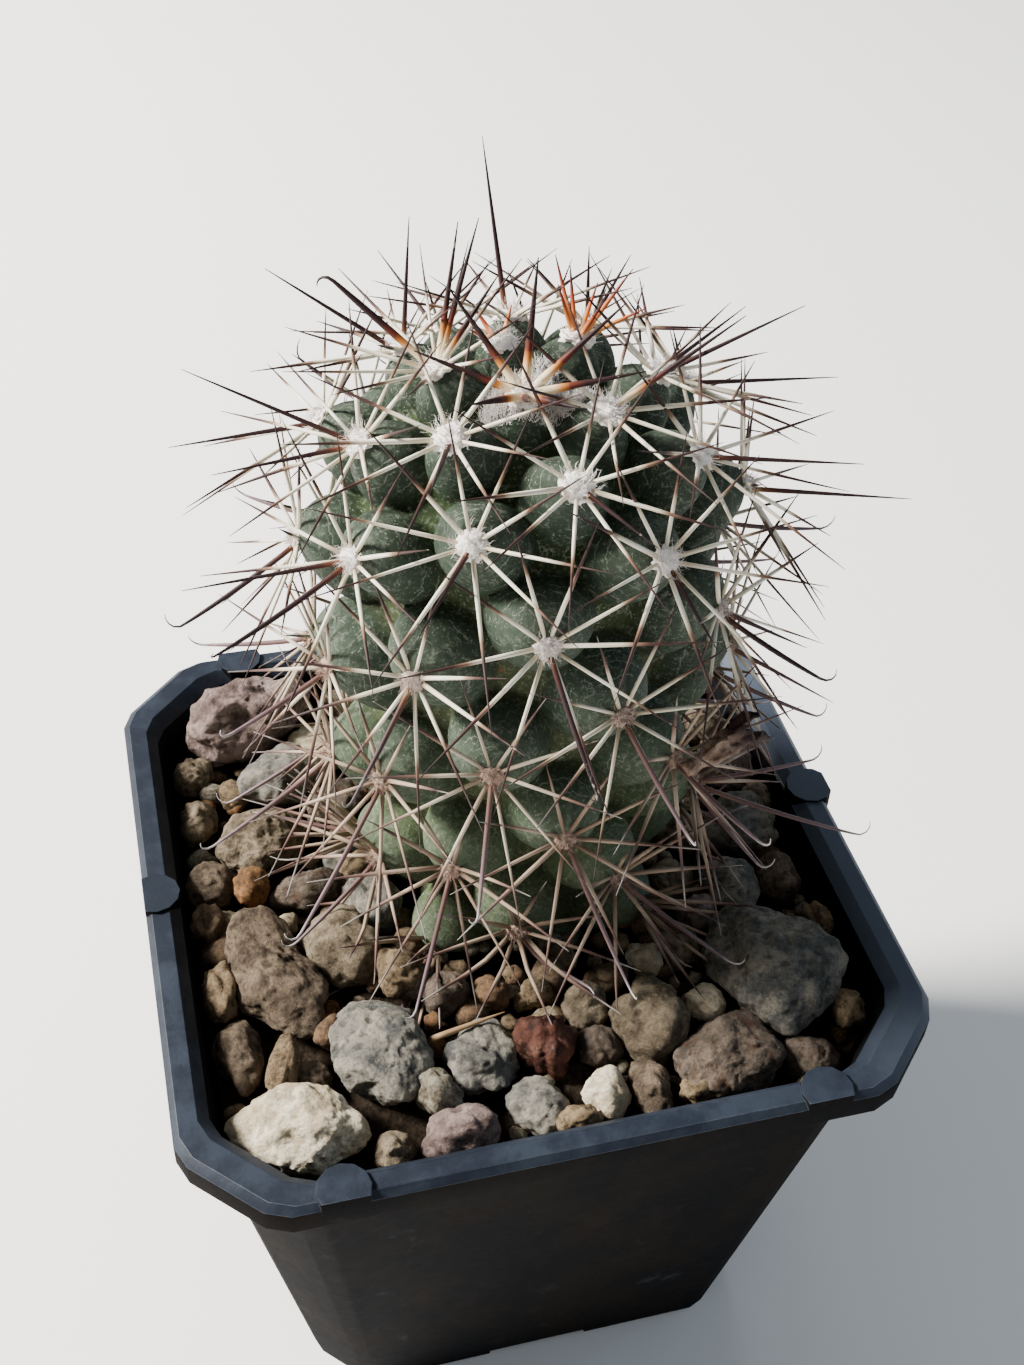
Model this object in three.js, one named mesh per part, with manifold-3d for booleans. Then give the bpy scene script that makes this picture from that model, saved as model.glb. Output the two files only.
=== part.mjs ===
// A small round cactus with starry, hooked spines, in a square nursery pot topped with coarse mineral grit.
// Millimetres, +Z up. The origin is the middle of the pot's underside, and the pot's front side faces -Y.

import * as THREE from "three";
import { mergeVertices } from "three/addons/utils/BufferGeometryUtils.js";
import Module from "manifold-3d";

const wasm = await Module();
wasm.setup();

// Driving dimensions of the pot
const potHeight = 57;
const rimHalfWidth = 35;
const rimFlangeWidth = 2.3;
const rimThickness = 1;
const rimSkirtDepth = 3;
const wallTopHalfWidth = 32.6;
const wallFootHalfWidth = 24.2;
const wallThickness = 0.9;
const floorThickness = 2.6;
const cornerCutShare = 0.215; // leg of the corner chamfer, as a share of the half width
const cornerRoundShare = 0.09; // radius at each end of that chamfer, as a share of the half width
const lugRadius = 2.4;
const lugRise = 0.35; // how far a lug stands above the rim
const lugOutset = 0.8; // how far the right side's lug sticks out past the rim
const drainGrooveDepth = 1.4;
const drainGrooveWidth = 11;
const drainPadRadius = 6.5;
const drainHoleRadius = 2.4;
const drainHoleReach = 13.5; // distance of each drain hole from the middle

// Driving dimensions of the grit
const gritDepthBelowRim = 6.3;
const gritRoughness = 1.6;
const stoneFlatness = 0.72; // height of a stone against its smaller side
const stoneTopBelowRim = 1.5;
const seatGap = 0.3; // clearance that keeps touching solids apart

// Driving dimensions of the plant, with heights counted from the pot's rim
const stemRadius = 18.8; // to the tips of the tubercles
const stemShoulder = 40; // height where the crown's dome begins
const stemTop = 57.4;
const stemFootHeight = -12;
const stemWaist = 34; // height below which the stem narrows
const stemNarrowest = 1.5; // height from which it is narrowest, down to the foot
const stemNarrowing = 2.67; // how much smaller its radius is there
const stemNarrowingPower = 2.6;
const rootLength = 16;
const stemFootAt = [2.63, 4.2]; // where the stem's axis crosses the rim's plane
const stemLean = [-0.039, -0.09]; // sideways shift of the axis for each millimetre up
const areoleAreaYoung = 19; // skin area to each areole, at the crown
const areoleAreaGrown = 140;
const areoleGrownAt = 28; // distance from the crown where areoles reach full spacing
const areoleTurn = 137.508; // degrees from one areole to the next
const areoleStart = -21.3;
const areoleOffset = 0.12; // the share of a turn's worth of skin above the youngest areole
const lowestSpinyAreole = -0.5; // height above the rim's plane
const tubercleHeightShare = 0.4; // of the areole spacing
const tubercleWidthShare = 0.57;
const tubercleUpturn = 0.22;
const spineFloor = -0.75; // no spine dips below this height inside the pot
const spineFloorOverRim = 1; // nor below this one over the rim

// Driving dimensions of the spines
const radialCount = 9;
const radialLength = 11.2;
const padRadius = 1.6;
const padHeight = 0.75;
const centralLength = 13;
const hookedLength = 15;
const hookedFrom = 20; // areoles from this one down carry a hooked spine
const hookedSag = 0.1; // how far a hooked spine's tip sinks, as a share of its length
const hooked = true;

// Central spines that show in the outline or cross the front: areole, turn from straight up, rise and length.
const chosenCentrals = [
  [2, -56, 38, 15.5],
  [2, 6, 48, 9],
  [2, 57, 34, 11],
  [4, 26, 63, 12.5],
  [4, -16, 40, 10],
  [4, -152, 53, 11.5, hooked],
  [5, 110, 45, 12],
  [6, 104, 84, 14],
  [7, 150, 30, 8],
  [8, -168, 57, 12.2],
  [8, 140, 31, 11],
  [9, 146, 58, 12],
  [9, -50, 60, 10],
  [10, 150, 20, 7.5],
  [12, -130, 51, 14],
  [12, -171, 33, 11],
  [13, 165, 45, 12],
  [15, -172, 41, 10],
  [18, 180, 20, 7.5],
  [20, -171, 37, 14, hooked],
  [20, -135, 45, 12.5],
  [21, -144, 66, 13.2],
  [23, 164, 30, 13.5, hooked],
  [26, 177, 55, 11.5, hooked],
  [26, 140, 30, 9],
  [28, -175, 35, 12.5, hooked],
  [31, 170, 40, 13, hooked],
  [33, 176, 55, 11.5, hooked],
  [34, -148, 60, 10],
  [36, 179, 35, 13.5, hooked],
  [39, 177, 57, 12, hooked],
  [41, 172, 42, 17, hooked],
  [44, 163, 25, 17, hooked],
  [47, 150, 58, 18.5, hooked],
  [47, 110, 45, 14, hooked],
  [47, -170, 40, 12, hooked],
  [49, 180, 32, 15.5, hooked],
  [52, 143, 35, 16, hooked],
  [57, 140, 15, 12, hooked],
];
const oldestUpright = 12; // areoles before this one also hold a central spine that points up
const youngAreoles = 5; // areoles before this one are still spreading their spines
const budAreoles = 1; // the first ones are hidden in wool and have no spines yet
const budGrowth = 0.38; // share of full length on the areole after them

// Driving dimensions of what has dried and dropped
const witheredFlowerAreole = 39;
const witheredFlowerLength = 7.2;
const witheredFlowerRadius = 1.5;
const witheredFlowerAim = { side: 0.92, up: 0.24, out: 0.31 };
const fallenFruit = [-0.6, -21.0, 5.6, 6.2, 25, "fruit", -0.8]; // as for the stones below
const fallenSpineEnds = [
  [-11.1, -18.8],
  [-3.6, -17.1],
];
const fallenSpineHeight = -1.2; // from the rim, before it drops onto the stones
const fallenSpineRadius = 0.3;

const radians = THREE.MathUtils.degToRad;
const lerp = THREE.MathUtils.lerp;
const clamp = THREE.MathUtils.clamp;

// A repeatable number from 0 to 1 for a pair of counters.
function chance(a, b) {
  const wave = Math.sin(a * 12.9898 + b * 78.233) * 43758.5453;
  return wave - Math.floor(wave);
}

// A closed geometry as a solid that can be joined and cut.
function toSolid(geometry) {
  const bare = new THREE.BufferGeometry();
  bare.setAttribute("position", geometry.getAttribute("position"));
  bare.setIndex(geometry.index);
  const merged = mergeVertices(bare, 1e-4);
  const corners = merged.index.array;
  const kept = [];
  for (let i = 0; i < corners.length; i += 3) {
    const [a, b, c] = corners.slice(i, i + 3);
    if (a !== b && b !== c && c !== a) kept.push(a, b, c);
  }
  const vertProperties = new Float32Array(merged.attributes.position.array);
  return new wasm.Manifold(new wasm.Mesh({ numProp: 3, vertProperties, triVerts: new Uint32Array(kept) }));
}

// A solid as a geometry with flat facets.
function toGeometry(solid) {
  const mesh = solid.getMesh();
  const geometry = new THREE.BufferGeometry();
  const places = new Float32Array(mesh.numVert * 3);
  for (let i = 0; i < mesh.numVert; i++) {
    places.set(mesh.vertProperties.subarray(i * mesh.numProp, i * mesh.numProp + 3), i * 3);
  }
  geometry.setAttribute("position", new THREE.BufferAttribute(places, 3));
  geometry.setIndex(new THREE.BufferAttribute(new Uint32Array(mesh.triVerts), 1));
  const faceted = geometry.toNonIndexed();
  faceted.computeVertexNormals();
  return faceted;
}

function named(name, geometry, material) {
  const mesh = new THREE.Mesh(geometry, material);
  mesh.name = name;
  return mesh;
}

const plastic = new THREE.MeshStandardMaterial({ color: 0x2b3038, roughness: 0.55, metalness: 0 });
const drySpine = new THREE.MeshStandardMaterial({ color: 0xb79a72, roughness: 0.7, metalness: 0 });
const grit = new THREE.MeshStandardMaterial({ color: 0x3c342c, roughness: 0.95, metalness: 0 });
const skin = new THREE.MeshStandardMaterial({ color: 0x56695a, roughness: 0.7, metalness: 0 });
const driedPetal = new THREE.MeshStandardMaterial({ color: 0x7a5a42, roughness: 0.85, metalness: 0 });
const driedFruit = new THREE.MeshStandardMaterial({ color: 0x7c4536, roughness: 0.6, metalness: 0 });
const stoneMaterials = {
  cream: new THREE.MeshStandardMaterial({ color: 0xc9bba3, roughness: 0.95, metalness: 0 }),
  grey: new THREE.MeshStandardMaterial({ color: 0x8d8b84, roughness: 0.95, metalness: 0 }),
  tan: new THREE.MeshStandardMaterial({ color: 0x9c8665, roughness: 0.95, metalness: 0 }),
  brown: new THREE.MeshStandardMaterial({ color: 0x6f5c48, roughness: 0.95, metalness: 0 }),
  rust: new THREE.MeshStandardMaterial({ color: 0x8a5f45, roughness: 0.95, metalness: 0 }),
  pink: new THREE.MeshStandardMaterial({ color: 0x9b837a, roughness: 0.95, metalness: 0 }),
};

// The pot's outline at half width 1: a square with chamfered corners, each chamfer end rounded by two points.
function squareOutline() {
  const points = [];
  const back = cornerRoundShare * Math.tan(Math.PI / 8);
  for (let corner = 0; corner < 4; corner++) {
    const turn = (corner * Math.PI) / 2;
    const ends = [
      [1, 1 - cornerCutShare, 0],
      [1 - cornerCutShare, 1, Math.PI / 4],
    ];
    for (const [x, y, facing] of ends) {
      const into = new THREE.Vector2(-Math.sin(facing), Math.cos(facing));
      const start = new THREE.Vector2(x, y).addScaledVector(into, -back);
      const outward = new THREE.Vector2(Math.cos(facing), Math.sin(facing));
      const centre = start.clone().addScaledVector(outward, -cornerRoundShare);
      for (const step of [0, 1]) {
        const angle = facing + (step * Math.PI) / 4;
        const point = new THREE.Vector2(Math.cos(angle), Math.sin(angle)).multiplyScalar(cornerRoundShare);
        points.push(point.add(centre).rotateAround(new THREE.Vector2(), turn));
      }
    }
  }
  return points;
}

// Turns a profile of (half width, height) pairs round the Z axis, square instead of round.
function turnedSquare(profile) {
  const outline = squareOutline();
  const lathe = new THREE.LatheGeometry(profile.map(([x, z]) => new THREE.Vector2(x, z)), outline.length);
  const place = lathe.getAttribute("position");
  for (let i = 0; i < place.count; i++) {
    const [halfWidth, height] = profile[i % profile.length];
    const corner = outline[Math.floor(i / profile.length) % outline.length];
    place.setXYZ(i, corner.x * halfWidth, corner.y * halfWidth, height);
  }
  return lathe;
}

const innerFootHalfWidth = wallFootHalfWidth - wallThickness;
const innerTopHalfWidth = wallTopHalfWidth - wallThickness;
const innerBendHeight = potHeight - 1.2;
const floorCorner = 1;

// Half width of the pot's inner face at a height above the underside.
function innerHalfWidth(height) {
  const low = floorThickness + floorCorner;
  return lerp(innerFootHalfWidth, innerTopHalfWidth, (height - low) / (innerBendHeight - low));
}

function makePot() {
  const edge = 0.6; // small bevel on the rim and the foot
  const skirtInside = rimHalfWidth - wallThickness;
  const shell = toSolid(
    turnedSquare([
      [0, 0],
      [wallFootHalfWidth - edge, 0],
      [wallFootHalfWidth, edge],
      [wallTopHalfWidth, potHeight - rimThickness],
      [skirtInside, potHeight - rimThickness],
      [skirtInside, potHeight - rimSkirtDepth],
      [rimHalfWidth, potHeight - rimSkirtDepth],
      [rimHalfWidth, potHeight - edge],
      [rimHalfWidth - edge, potHeight],
      [rimHalfWidth - rimFlangeWidth, potHeight],
      [innerTopHalfWidth, innerBendHeight],
      [innerFootHalfWidth, floorThickness + floorCorner],
      [innerFootHalfWidth - floorCorner, floorThickness],
      [0, floorThickness],
    ]),
  );
  const lugs = lugPlaces().map(([x, y, outset]) => {
    const lug = new THREE.CylinderGeometry(lugRadius, lugRadius, rimSkirtDepth + lugRise, 12);
    lug.rotateX(Math.PI / 2);
    lug.translate(x, y, potHeight + lugRise - (rimSkirtDepth + lugRise) / 2);
    const limit = new THREE.BoxGeometry(2 * rimHalfWidth, 2 * rimHalfWidth, 3 * potHeight);
    limit.translate(outset, 0, 0);
    return toSolid(lug).intersect(toSolid(limit));
  });
  let pot = lugs.reduce((whole, lug) => whole.add(lug), shell);
  for (const quarter of [0, 1, 2, 3]) {
    const turn = (quarter * Math.PI) / 2;
    const reach = wallFootHalfWidth + 2;
    const groove = new THREE.BoxGeometry(reach - drainPadRadius, drainGrooveWidth, drainGrooveDepth * 2);
    groove.translate((reach + drainPadRadius) / 2, 0, 0);
    groove.rotateZ(turn);
    const hole = new THREE.CylinderGeometry(drainHoleRadius, drainHoleRadius, floorThickness * 4, 10);
    hole.rotateX(Math.PI / 2);
    hole.translate(drainHoleReach, 0, 0);
    hole.rotateZ(turn);
    pot = pot.subtract(toSolid(groove)).subtract(toSolid(hole));
  }
  return pot;
}

// The stacking lugs, half-round swellings of the rim: their middles, and how far each sticks out past it.
function lugPlaces() {
  const inset = rimHalfWidth - rimFlangeWidth / 2;
  const frontReach = 21.6;
  const sideReach = 1.6;
  return [
    [-frontReach, -inset, 0],
    [frontReach, -inset, 0],
    [-frontReach, inset, 0],
    [frontReach, inset, 0],
    [-inset, sideReach, 0],
    [inset, sideReach, lugOutset],
  ];
}

// The stem's outline through the tips of its tubercles, sampled from the crown down to the foot.
// Each sample holds radius, height, distance along the skin and the number of areoles above it.
function stemOutline() {
  const samples = [];
  const steps = 120;
  for (let i = 0; i <= steps; i++) {
    const swing = (i / steps) * (Math.PI / 2);
    const radius = stemRadius * Math.sin(swing);
    const height = stemShoulder + (stemTop - stemShoulder) * Math.cos(swing);
    samples.push({ radius, height });
  }
  for (let i = 1; i <= steps; i++) {
    const height = lerp(stemShoulder, stemFootHeight, i / steps);
    const below = clamp((stemWaist - height) / (stemWaist - stemNarrowest), 0, 1);
    samples.push({ radius: stemRadius - stemNarrowing * below ** stemNarrowingPower, height });
  }
  let along = 0;
  let count = 0;
  samples.forEach((sample, i) => {
    if (i > 0) {
      const last = samples[i - 1];
      const step = Math.hypot(sample.radius - last.radius, sample.height - last.height);
      const density = (place) => (2 * Math.PI * place.radius) / areoleArea(place.along);
      sample.along = along + step;
      count += ((density(last) + density(sample)) / 2) * step;
      along += step;
    }
    sample.along = along;
    sample.count = count;
  });
  return samples;
}

function areoleArea(along) {
  return lerp(areoleAreaYoung, areoleAreaGrown, Math.min(1, along / areoleGrownAt));
}

const outline = stemOutline();

// The outline's radius, height, distance and outward slope where one of its values reaches a given one.
function outlineAt(key, value) {
  let i = outline.findIndex((sample) => sample[key] >= value);
  i = clamp(i < 0 ? outline.length - 1 : i, 1, outline.length - 1);
  const low = outline[i - 1];
  const high = outline[i];
  const share = (value - low[key]) / (high[key] - low[key]);
  const slope = Math.atan2(low.height - high.height, high.radius - low.radius);
  return {
    radius: lerp(low.radius, high.radius, share),
    height: lerp(low.height, high.height, share),
    along: lerp(low.along, high.along, share),
    out: Math.sin(slope),
    up: Math.cos(slope),
  };
}

// Every areole from the crown down, each with its place on the outline and its turn about the axis.
function makeAreoles() {
  const areoles = [];
  for (let i = 0; i + areoleOffset < outline[outline.length - 1].count; i++) {
    const place = outlineAt("count", i + areoleOffset);
    const spacing = Math.sqrt(areoleArea(place.along));
    areoles.push({ ...place, number: i, spacing, turn: radians(areoleStart + i * areoleTurn) });
  }
  return areoles;
}

const areoles = makeAreoles();

// How far a tubercle lifts the skin at a distance down the stem and a turn about its axis.
function tubercleLift(radius, along, turn) {
  let lift = 0;
  let spacing = 0;
  for (const areole of areoles) {
    const down = (along - areole.along) / (areole.spacing * tubercleWidthShare);
    if (Math.abs(down) >= 1) continue;
    const across = Math.atan2(Math.sin(turn - areole.turn), Math.cos(turn - areole.turn));
    const side = (across * Math.max(radius, 0.4 * areole.spacing)) / (areole.spacing * tubercleWidthShare);
    const far = down * down + side * side;
    if (far >= 1) continue;
    const here = (1 - far) ** 0.6;
    if (here > lift) {
      lift = here;
      spacing = areole.spacing;
    }
  }
  return lift * spacing * tubercleHeightShare;
}

// A point on the skin, at a distance from the crown along the outline and a turn about the axis.
function skinPoint(along, turn) {
  const place = outlineAt("along", along);
  const depth = Math.sqrt(areoleArea(along)) * tubercleHeightShare;
  const lift = tubercleLift(place.radius, along, turn);
  const fade = clamp((place.height - stemFootHeight) / 6, 0, 1);
  const inward = depth - lift * fade;
  const radius = Math.max(0, place.radius - inward * place.out);
  const height = place.height - inward * place.up + lift * fade * tubercleUpturn * place.out;
  return onAxis(radius, height, turn);
}

// Turns a radius, a height above the rim and a turn about the leaning axis into a point of the part's frame.
function onAxis(radius, height, turn) {
  return new THREE.Vector3(
    stemFootAt[0] + stemLean[0] * height + radius * Math.cos(turn),
    stemFootAt[1] + stemLean[1] * height + radius * Math.sin(turn),
    potHeight + height,
  );
}

const skinDepthAtFoot = Math.sqrt(areoleAreaGrown) * tubercleHeightShare;

// The part of the stem below its lowest tubercles, narrowing to the tip of the tap root.
function rootRadius(height) {
  const share = clamp((stemFootHeight - height) / rootLength, 0, 1);
  const top = outline[outline.length - 1].radius - skinDepthAtFoot;
  return top * (1 - share) ** 0.8;
}

function makeStem() {
  const columns = 40;
  const rows = 28;
  const rootRows = 3;
  const lastAlong = outline[outline.length - 1].along;
  const rowCount = rows + rootRows + 1;
  const blank = Array.from({ length: rowCount }, (_, i) => new THREE.Vector2(1, i));
  const lathe = new THREE.LatheGeometry(blank, columns);
  const place = lathe.getAttribute("position");
  for (let i = 0; i < place.count; i++) {
    const row = rowCount - 1 - (i % rowCount); // from the crown down
    const turn = (Math.floor(i / rowCount) / columns) * 2 * Math.PI;
    let point = null;
    if (row <= rows) {
      point = skinPoint((row / rows) * lastAlong, row === 0 ? 0 : turn);
      if (row === 0) point = onAxis(0, stemTop - 0.5 * Math.sqrt(areoleAreaYoung) * tubercleHeightShare, 0);
    } else {
      const height = stemFootHeight - ((row - rows) / rootRows) * rootLength;
      point = onAxis(rootRadius(height), height, turn);
    }
    place.setXYZ(i, point.x, point.y, point.z);
  }
  return toSolid(lathe);
}

// The hole in the grit that the stem's foot and root stand in.
function makeStemHole() {
  const topHeight = -3;
  const levels = [topHeight, stemFootHeight];
  for (let i = 1; i <= 5; i++) levels.push(stemFootHeight - (i / 5) * (rootLength + seatGap));
  const columns = 24;
  const profile = [new THREE.Vector2(0, levels.at(-1) - seatGap)];
  for (const height of levels.slice().reverse()) {
    const swelling = 0.9 * Math.max(0, height - stemFootHeight);
    profile.push(new THREE.Vector2(rootRadius(height) + 0.5 + swelling, height));
  }
  profile.push(new THREE.Vector2(0, topHeight));
  const lathe = new THREE.LatheGeometry(profile, columns);
  const place = lathe.getAttribute("position");
  for (let i = 0; i < place.count; i++) {
    const { x: radius, y: height } = profile[i % profile.length];
    const turn = (Math.floor(i / profile.length) / columns) * 2 * Math.PI;
    const point = onAxis(radius, height, turn);
    place.setXYZ(i, point.x, point.y, point.z);
  }
  return toSolid(lathe);
}

// The frame of an areole: its tip, its outward direction, and the skin's upward and sideways directions.
function areoleFrame(areole) {
  const tip = skinPoint(areole.along, areole.turn);
  const out = new THREE.Vector3(
    Math.cos(areole.turn) * areole.out,
    Math.sin(areole.turn) * areole.out,
    areole.up + tubercleUpturn * areole.out,
  ).normalize();
  const side = new THREE.Vector3(-Math.sin(areole.turn), Math.cos(areole.turn), 0);
  const up = out.clone().cross(side).normalize();
  return { tip, out, up, side };
}

// Direction from an areole: around is counted from straight up the stem, rise from the skin.
function spineDirection(frame, around, rise) {
  return new THREE.Vector3()
    .addScaledVector(frame.up, Math.cos(around) * Math.cos(rise))
    .addScaledVector(frame.side, Math.sin(around) * Math.cos(rise))
    .addScaledVector(frame.out, Math.sin(rise));
}

// Keeps a point of a spine above the stones, and above the rim where it reaches that far.
function aboveFloor(point) {
  const reach = Math.max(Math.abs(point.x), Math.abs(point.y));
  const share = clamp((reach - wallTopHalfWidth + 4) / 2.5, 0, 1);
  point.z = Math.max(point.z, potHeight + lerp(spineFloor, spineFloorOverRim, share));
  return point;
}

// How young an areole is: 1 at the crown, 0 once its spines lie flat.
function youth(areole) {
  return clamp((youngAreoles - areole.number) / 3, 0, 1);
}

// How long an areole's spines have grown, as a share of full length.
function growth(areole) {
  return areole.number <= budAreoles ? budGrowth : lerp(1, 0.85, youth(areole));
}

// The radial spines of an areole, as directions and lengths. Young ones at the crown are short and stand up.
function radialSpines(areole) {
  const spines = [];
  const young = youth(areole);
  const old = clamp((areole.number - 38) / 16, 0, 1);
  for (let i = 0; i < radialCount; i++) {
    const wobble = chance(areole.number, i) - 0.5;
    const around = ((i + 0.5 + 0.35 * wobble) / radialCount) * 2 * Math.PI;
    const grown = radialLength * (1 - 0.13 * Math.cos(around)) * (0.9 + 0.2 * chance(areole.number, i + 20));
    const rise = radians(lerp(lerp(16, 27, old), 52, young) + 12 * (chance(areole.number, i + 40) - 0.5));
    spines.push({ around, rise, length: grown * growth(areole) });
  }
  return spines;
}

// The darker central spines of an areole: the chosen ones, or one that leans down and, when young, one up.
function centralSpines(areole) {
  const chosen = chosenCentrals.filter(([number]) => number === areole.number);
  if (chosen.length > 0) {
    return chosen.map(([, around, rise, length, hook]) => {
      return { around: radians(around), rise: radians(rise), length, hooked: hook };
    });
  }
  const pick = (i) => chance(areole.number, i + 60) - 0.5;
  const hook = areole.number >= hookedFrom;
  const length = (hook ? hookedLength : centralLength) * growth(areole) * (1 + 0.3 * pick(2));
  const rise = radians(44 + 20 * pick(1));
  const spines = [{ around: radians(180 + 60 * pick(0)), rise, length, hooked: hook }];
  if (areole.number < oldestUpright) {
    const reach = centralLength * growth(areole) * (1 + 0.3 * pick(5));
    const steep = radians(56 + 20 * pick(4));
    spines.push({ around: radians(60 * pick(3)), rise: steep, length: reach, hooked: false });
  }
  return spines;
}

// Points along a spine after its root, ending at its tip.
function spinePath(frame, spine, root) {
  const along = spineDirection(frame, spine.around, spine.rise);
  const at = (share) => root.clone().addScaledVector(along, spine.length * share);
  if (!spine.hooked) return [aboveFloor(at(1))];
  const drop = (share) => new THREE.Vector3(0, 0, -hookedSag * spine.length * share * share);
  const sag = (share) => aboveFloor(at(share).add(drop(share)));
  const bend = sag(0.92);
  const tip = bend.clone().addScaledVector(frame.out, 1.2).addScaledVector(frame.up, 1.3);
  return [sag(0.5), bend, aboveFloor(tip)];
}

// One areole's wool pad and spines as one closed solid. Each spine grows out of a facet of the pad.
function makeSpineStar(areole) {
  const frame = areoleFrame(areole);
  const size = clamp(areole.spacing / Math.sqrt(areoleAreaGrown), 0.6, 1);
  const radial = radialSpines(areole);
  const places = [];
  const faces = [];
  const put = (point) => places.push(point) - 1;
  const ring = (radius, height) =>
    radial.map((_, i) => {
      const around = (i / radialCount) * 2 * Math.PI;
      const point = frame.tip.clone().addScaledVector(frame.out, height * size);
      point.addScaledVector(frame.up, Math.cos(around) * radius * size);
      return put(point.addScaledVector(frame.side, Math.sin(around) * radius * size));
    });
  const middle = (corners) => {
    const sum = new THREE.Vector3();
    for (const corner of corners) sum.add(places[corner]);
    return sum.divideScalar(corners.length);
  };
  // Grows a spike from a facet's corners through rings of the same shape to its tip.
  const grow = (corners, path, slimness) => {
    const root = middle(corners);
    let last = corners;
    path.slice(0, -1).forEach((stop, step) => {
      const scale = slimness[step];
      const moved = (corner) => places[corner].clone().sub(root).multiplyScalar(scale).add(stop);
      const next = corners.map((corner) => put(moved(corner)));
      last.forEach((corner, i) => {
        const j = (i + 1) % last.length;
        faces.push([corner, last[j], next[j]], [corner, next[j], next[i]]);
      });
      last = next;
    });
    const tip = put(path.at(-1));
    last.forEach((corner, i) => faces.push([corner, last[(i + 1) % last.length], tip]));
  };

  const sunk = ring(padRadius * 0.8, -0.9);
  const lower = ring(padRadius, 0.1);
  const upper = ring(padRadius * 0.72, padHeight * 0.8);
  const bottom = put(frame.tip.clone().addScaledVector(frame.out, -1.1 * size));
  const top = put(frame.tip.clone().addScaledVector(frame.out, padHeight * size));
  const centralOf = new Map(); // the cap facet that each central spine grows from, on its own side of the pad
  for (const spine of centralSpines(areole)) {
    const share = THREE.MathUtils.euclideanModulo(spine.around / (2 * Math.PI), 1);
    let facet = Math.floor(share * radialCount);
    while (centralOf.has(facet)) facet = (facet + 1) % radialCount;
    centralOf.set(facet, spine);
  }
  for (let i = 0; i < radialCount; i++) {
    const j = (i + 1) % radialCount;
    faces.push([bottom, sunk[j], sunk[i]]);
    faces.push([sunk[i], sunk[j], lower[j]], [sunk[i], lower[j], lower[i]]);
    const facet = [lower[i], lower[j], upper[j], upper[i]];
    grow(facet, spinePath(frame, radial[i], middle(facet)), []);
    const cap = [upper[i], upper[j], top];
    if (centralOf.has(i)) grow(cap, spinePath(frame, centralOf.get(i), middle(cap)), [0.62, 0.36]);
    else faces.push(cap);
  }

  const geometry = new THREE.BufferGeometry();
  geometry.setFromPoints(places);
  geometry.setIndex(faces.flat());
  const solid = toSolid(geometry);
  if (solid.volume() > 0) return solid;
  geometry.setIndex(faces.map(([a, b, c]) => [a, c, b]).flat());
  return toSolid(geometry);
}

// A lump with random dents, from a many-sided ball stretched to its width, length and height.
function lump(ball, size, seed, roughness) {
  const bare = new THREE.BufferGeometry().setAttribute("position", ball.getAttribute("position"));
  const merged = mergeVertices(bare, 1e-4);
  const place = merged.getAttribute("position");
  for (let i = 0; i < place.count; i++) {
    const dent = 1 + roughness * (0.42 - chance(seed, i));
    place.setXYZ(
      i,
      (place.getX(i) * dent * size.width) / 2,
      (place.getY(i) * dent * size.length) / 2,
      (place.getZ(i) * dent * size.height) / 2,
    );
  }
  return merged;
}

// The larger stones that lie on top: middle x and y, width and length, turn in degrees, kind, and how high
// the stone reaches from the rim.
const placedStones = [
  [-24.0, -24.8, 12.4, 8.8, -18, "cream", -0.8],
  [-15.8, -18.6, 9.8, 13.0, 8, "grey", 0.2],
  [-6.5, -20.8, 8.8, 10.4, -12, "grey", -1],
  [9.6, -20.4, 7.8, 9.4, -24, "tan", -1],
  [15.8, -26.0, 11.2, 8.4, 8, "rust", -0.8],
  [23.2, -17.2, 12.4, 15.2, 20, "grey", 1],
  [-21.8, 26.4, 13.2, 7.8, 14, "pink", 3],
  [-19.4, 18.2, 10.8, 9.4, 20, "grey", 1],
  [-22.4, 10.0, 10.6, 7.6, 22, "tan", -0.2],
  [-23.6, -7.4, 8.6, 16.6, 20, "brown", -0.2],
  [-16.8, -5.4, 7.6, 10.4, 12, "tan", -1],
  [-28.2, -15.2, 5.8, 11.6, 5, "brown", -1],
  [-2.6, -26.7, 6.2, 7.0, 35, "grey", -1.6],
  [-10.4, -28.1, 8.0, 5.2, 8, "pink", -1.6],
  [3.6, -27.2, 4.4, 6.0, -5, "cream", -1.6],
  [7.7, -27.4, 3.8, 6.0, 4, "brown", -1.8],
  [-11.4, -24.0, 4.2, 5.0, 20, "grey", -2],
  [-16.3, -28.4, 4.0, 4.0, 0, "tan", -2.4],
  [4.6, -17.0, 5.0, 4.6, 0, "tan", -2],
  [-8.0, -12.8, 5.0, 4.4, 0, "rust", -1.8],
  [-24.4, -18.4, 3.4, 7.0, -16, "tan", -2],
  [-28.4, 21.2, 5.0, 5.2, 0, "tan", -1.6],
  [-28.7, 14.4, 4.4, 6.2, 0, "tan", -1.6],
  [-28.4, 5.2, 5.2, 5.8, 0, "brown", -1.6],
  [-19.0, 2.6, 7.6, 4.2, 0, "rust", -1.6],
  [26.8, 1.6, 9.0, 8.4, 12, "grey", -0.2],
  [22.8, -6.4, 5.2, 7.2, 10, "grey", -1.2],
  [28.0, -6.6, 4.8, 5.4, 0, "brown", -1.2],
  [18.6, -8.4, 4.2, 4.0, 0, "pink", -2.6],
  [28.0, 9.8, 6.2, 6.6, 20, "pink", -0.8],
  [28.0, 17.2, 5.0, 5.2, 0, "tan", -1.2],
  [29.0, -25.0, 2.8, 3.4, 0, "tan", -2.4],
  [25.4, 24.4, 7.6, 7.2, -30, "grey", -0.8],
  [16.4, 26.4, 8.8, 7.4, 14, "tan", -0.8],
  [6.8, 27.0, 8.6, 7.0, -8, "brown", -1],
  [-3.4, 26.8, 9.2, 7.2, 5, "cream", -1],
  [-11.2, 28.0, 5.4, 5.0, 0, "rust", -1.4],
];

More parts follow.
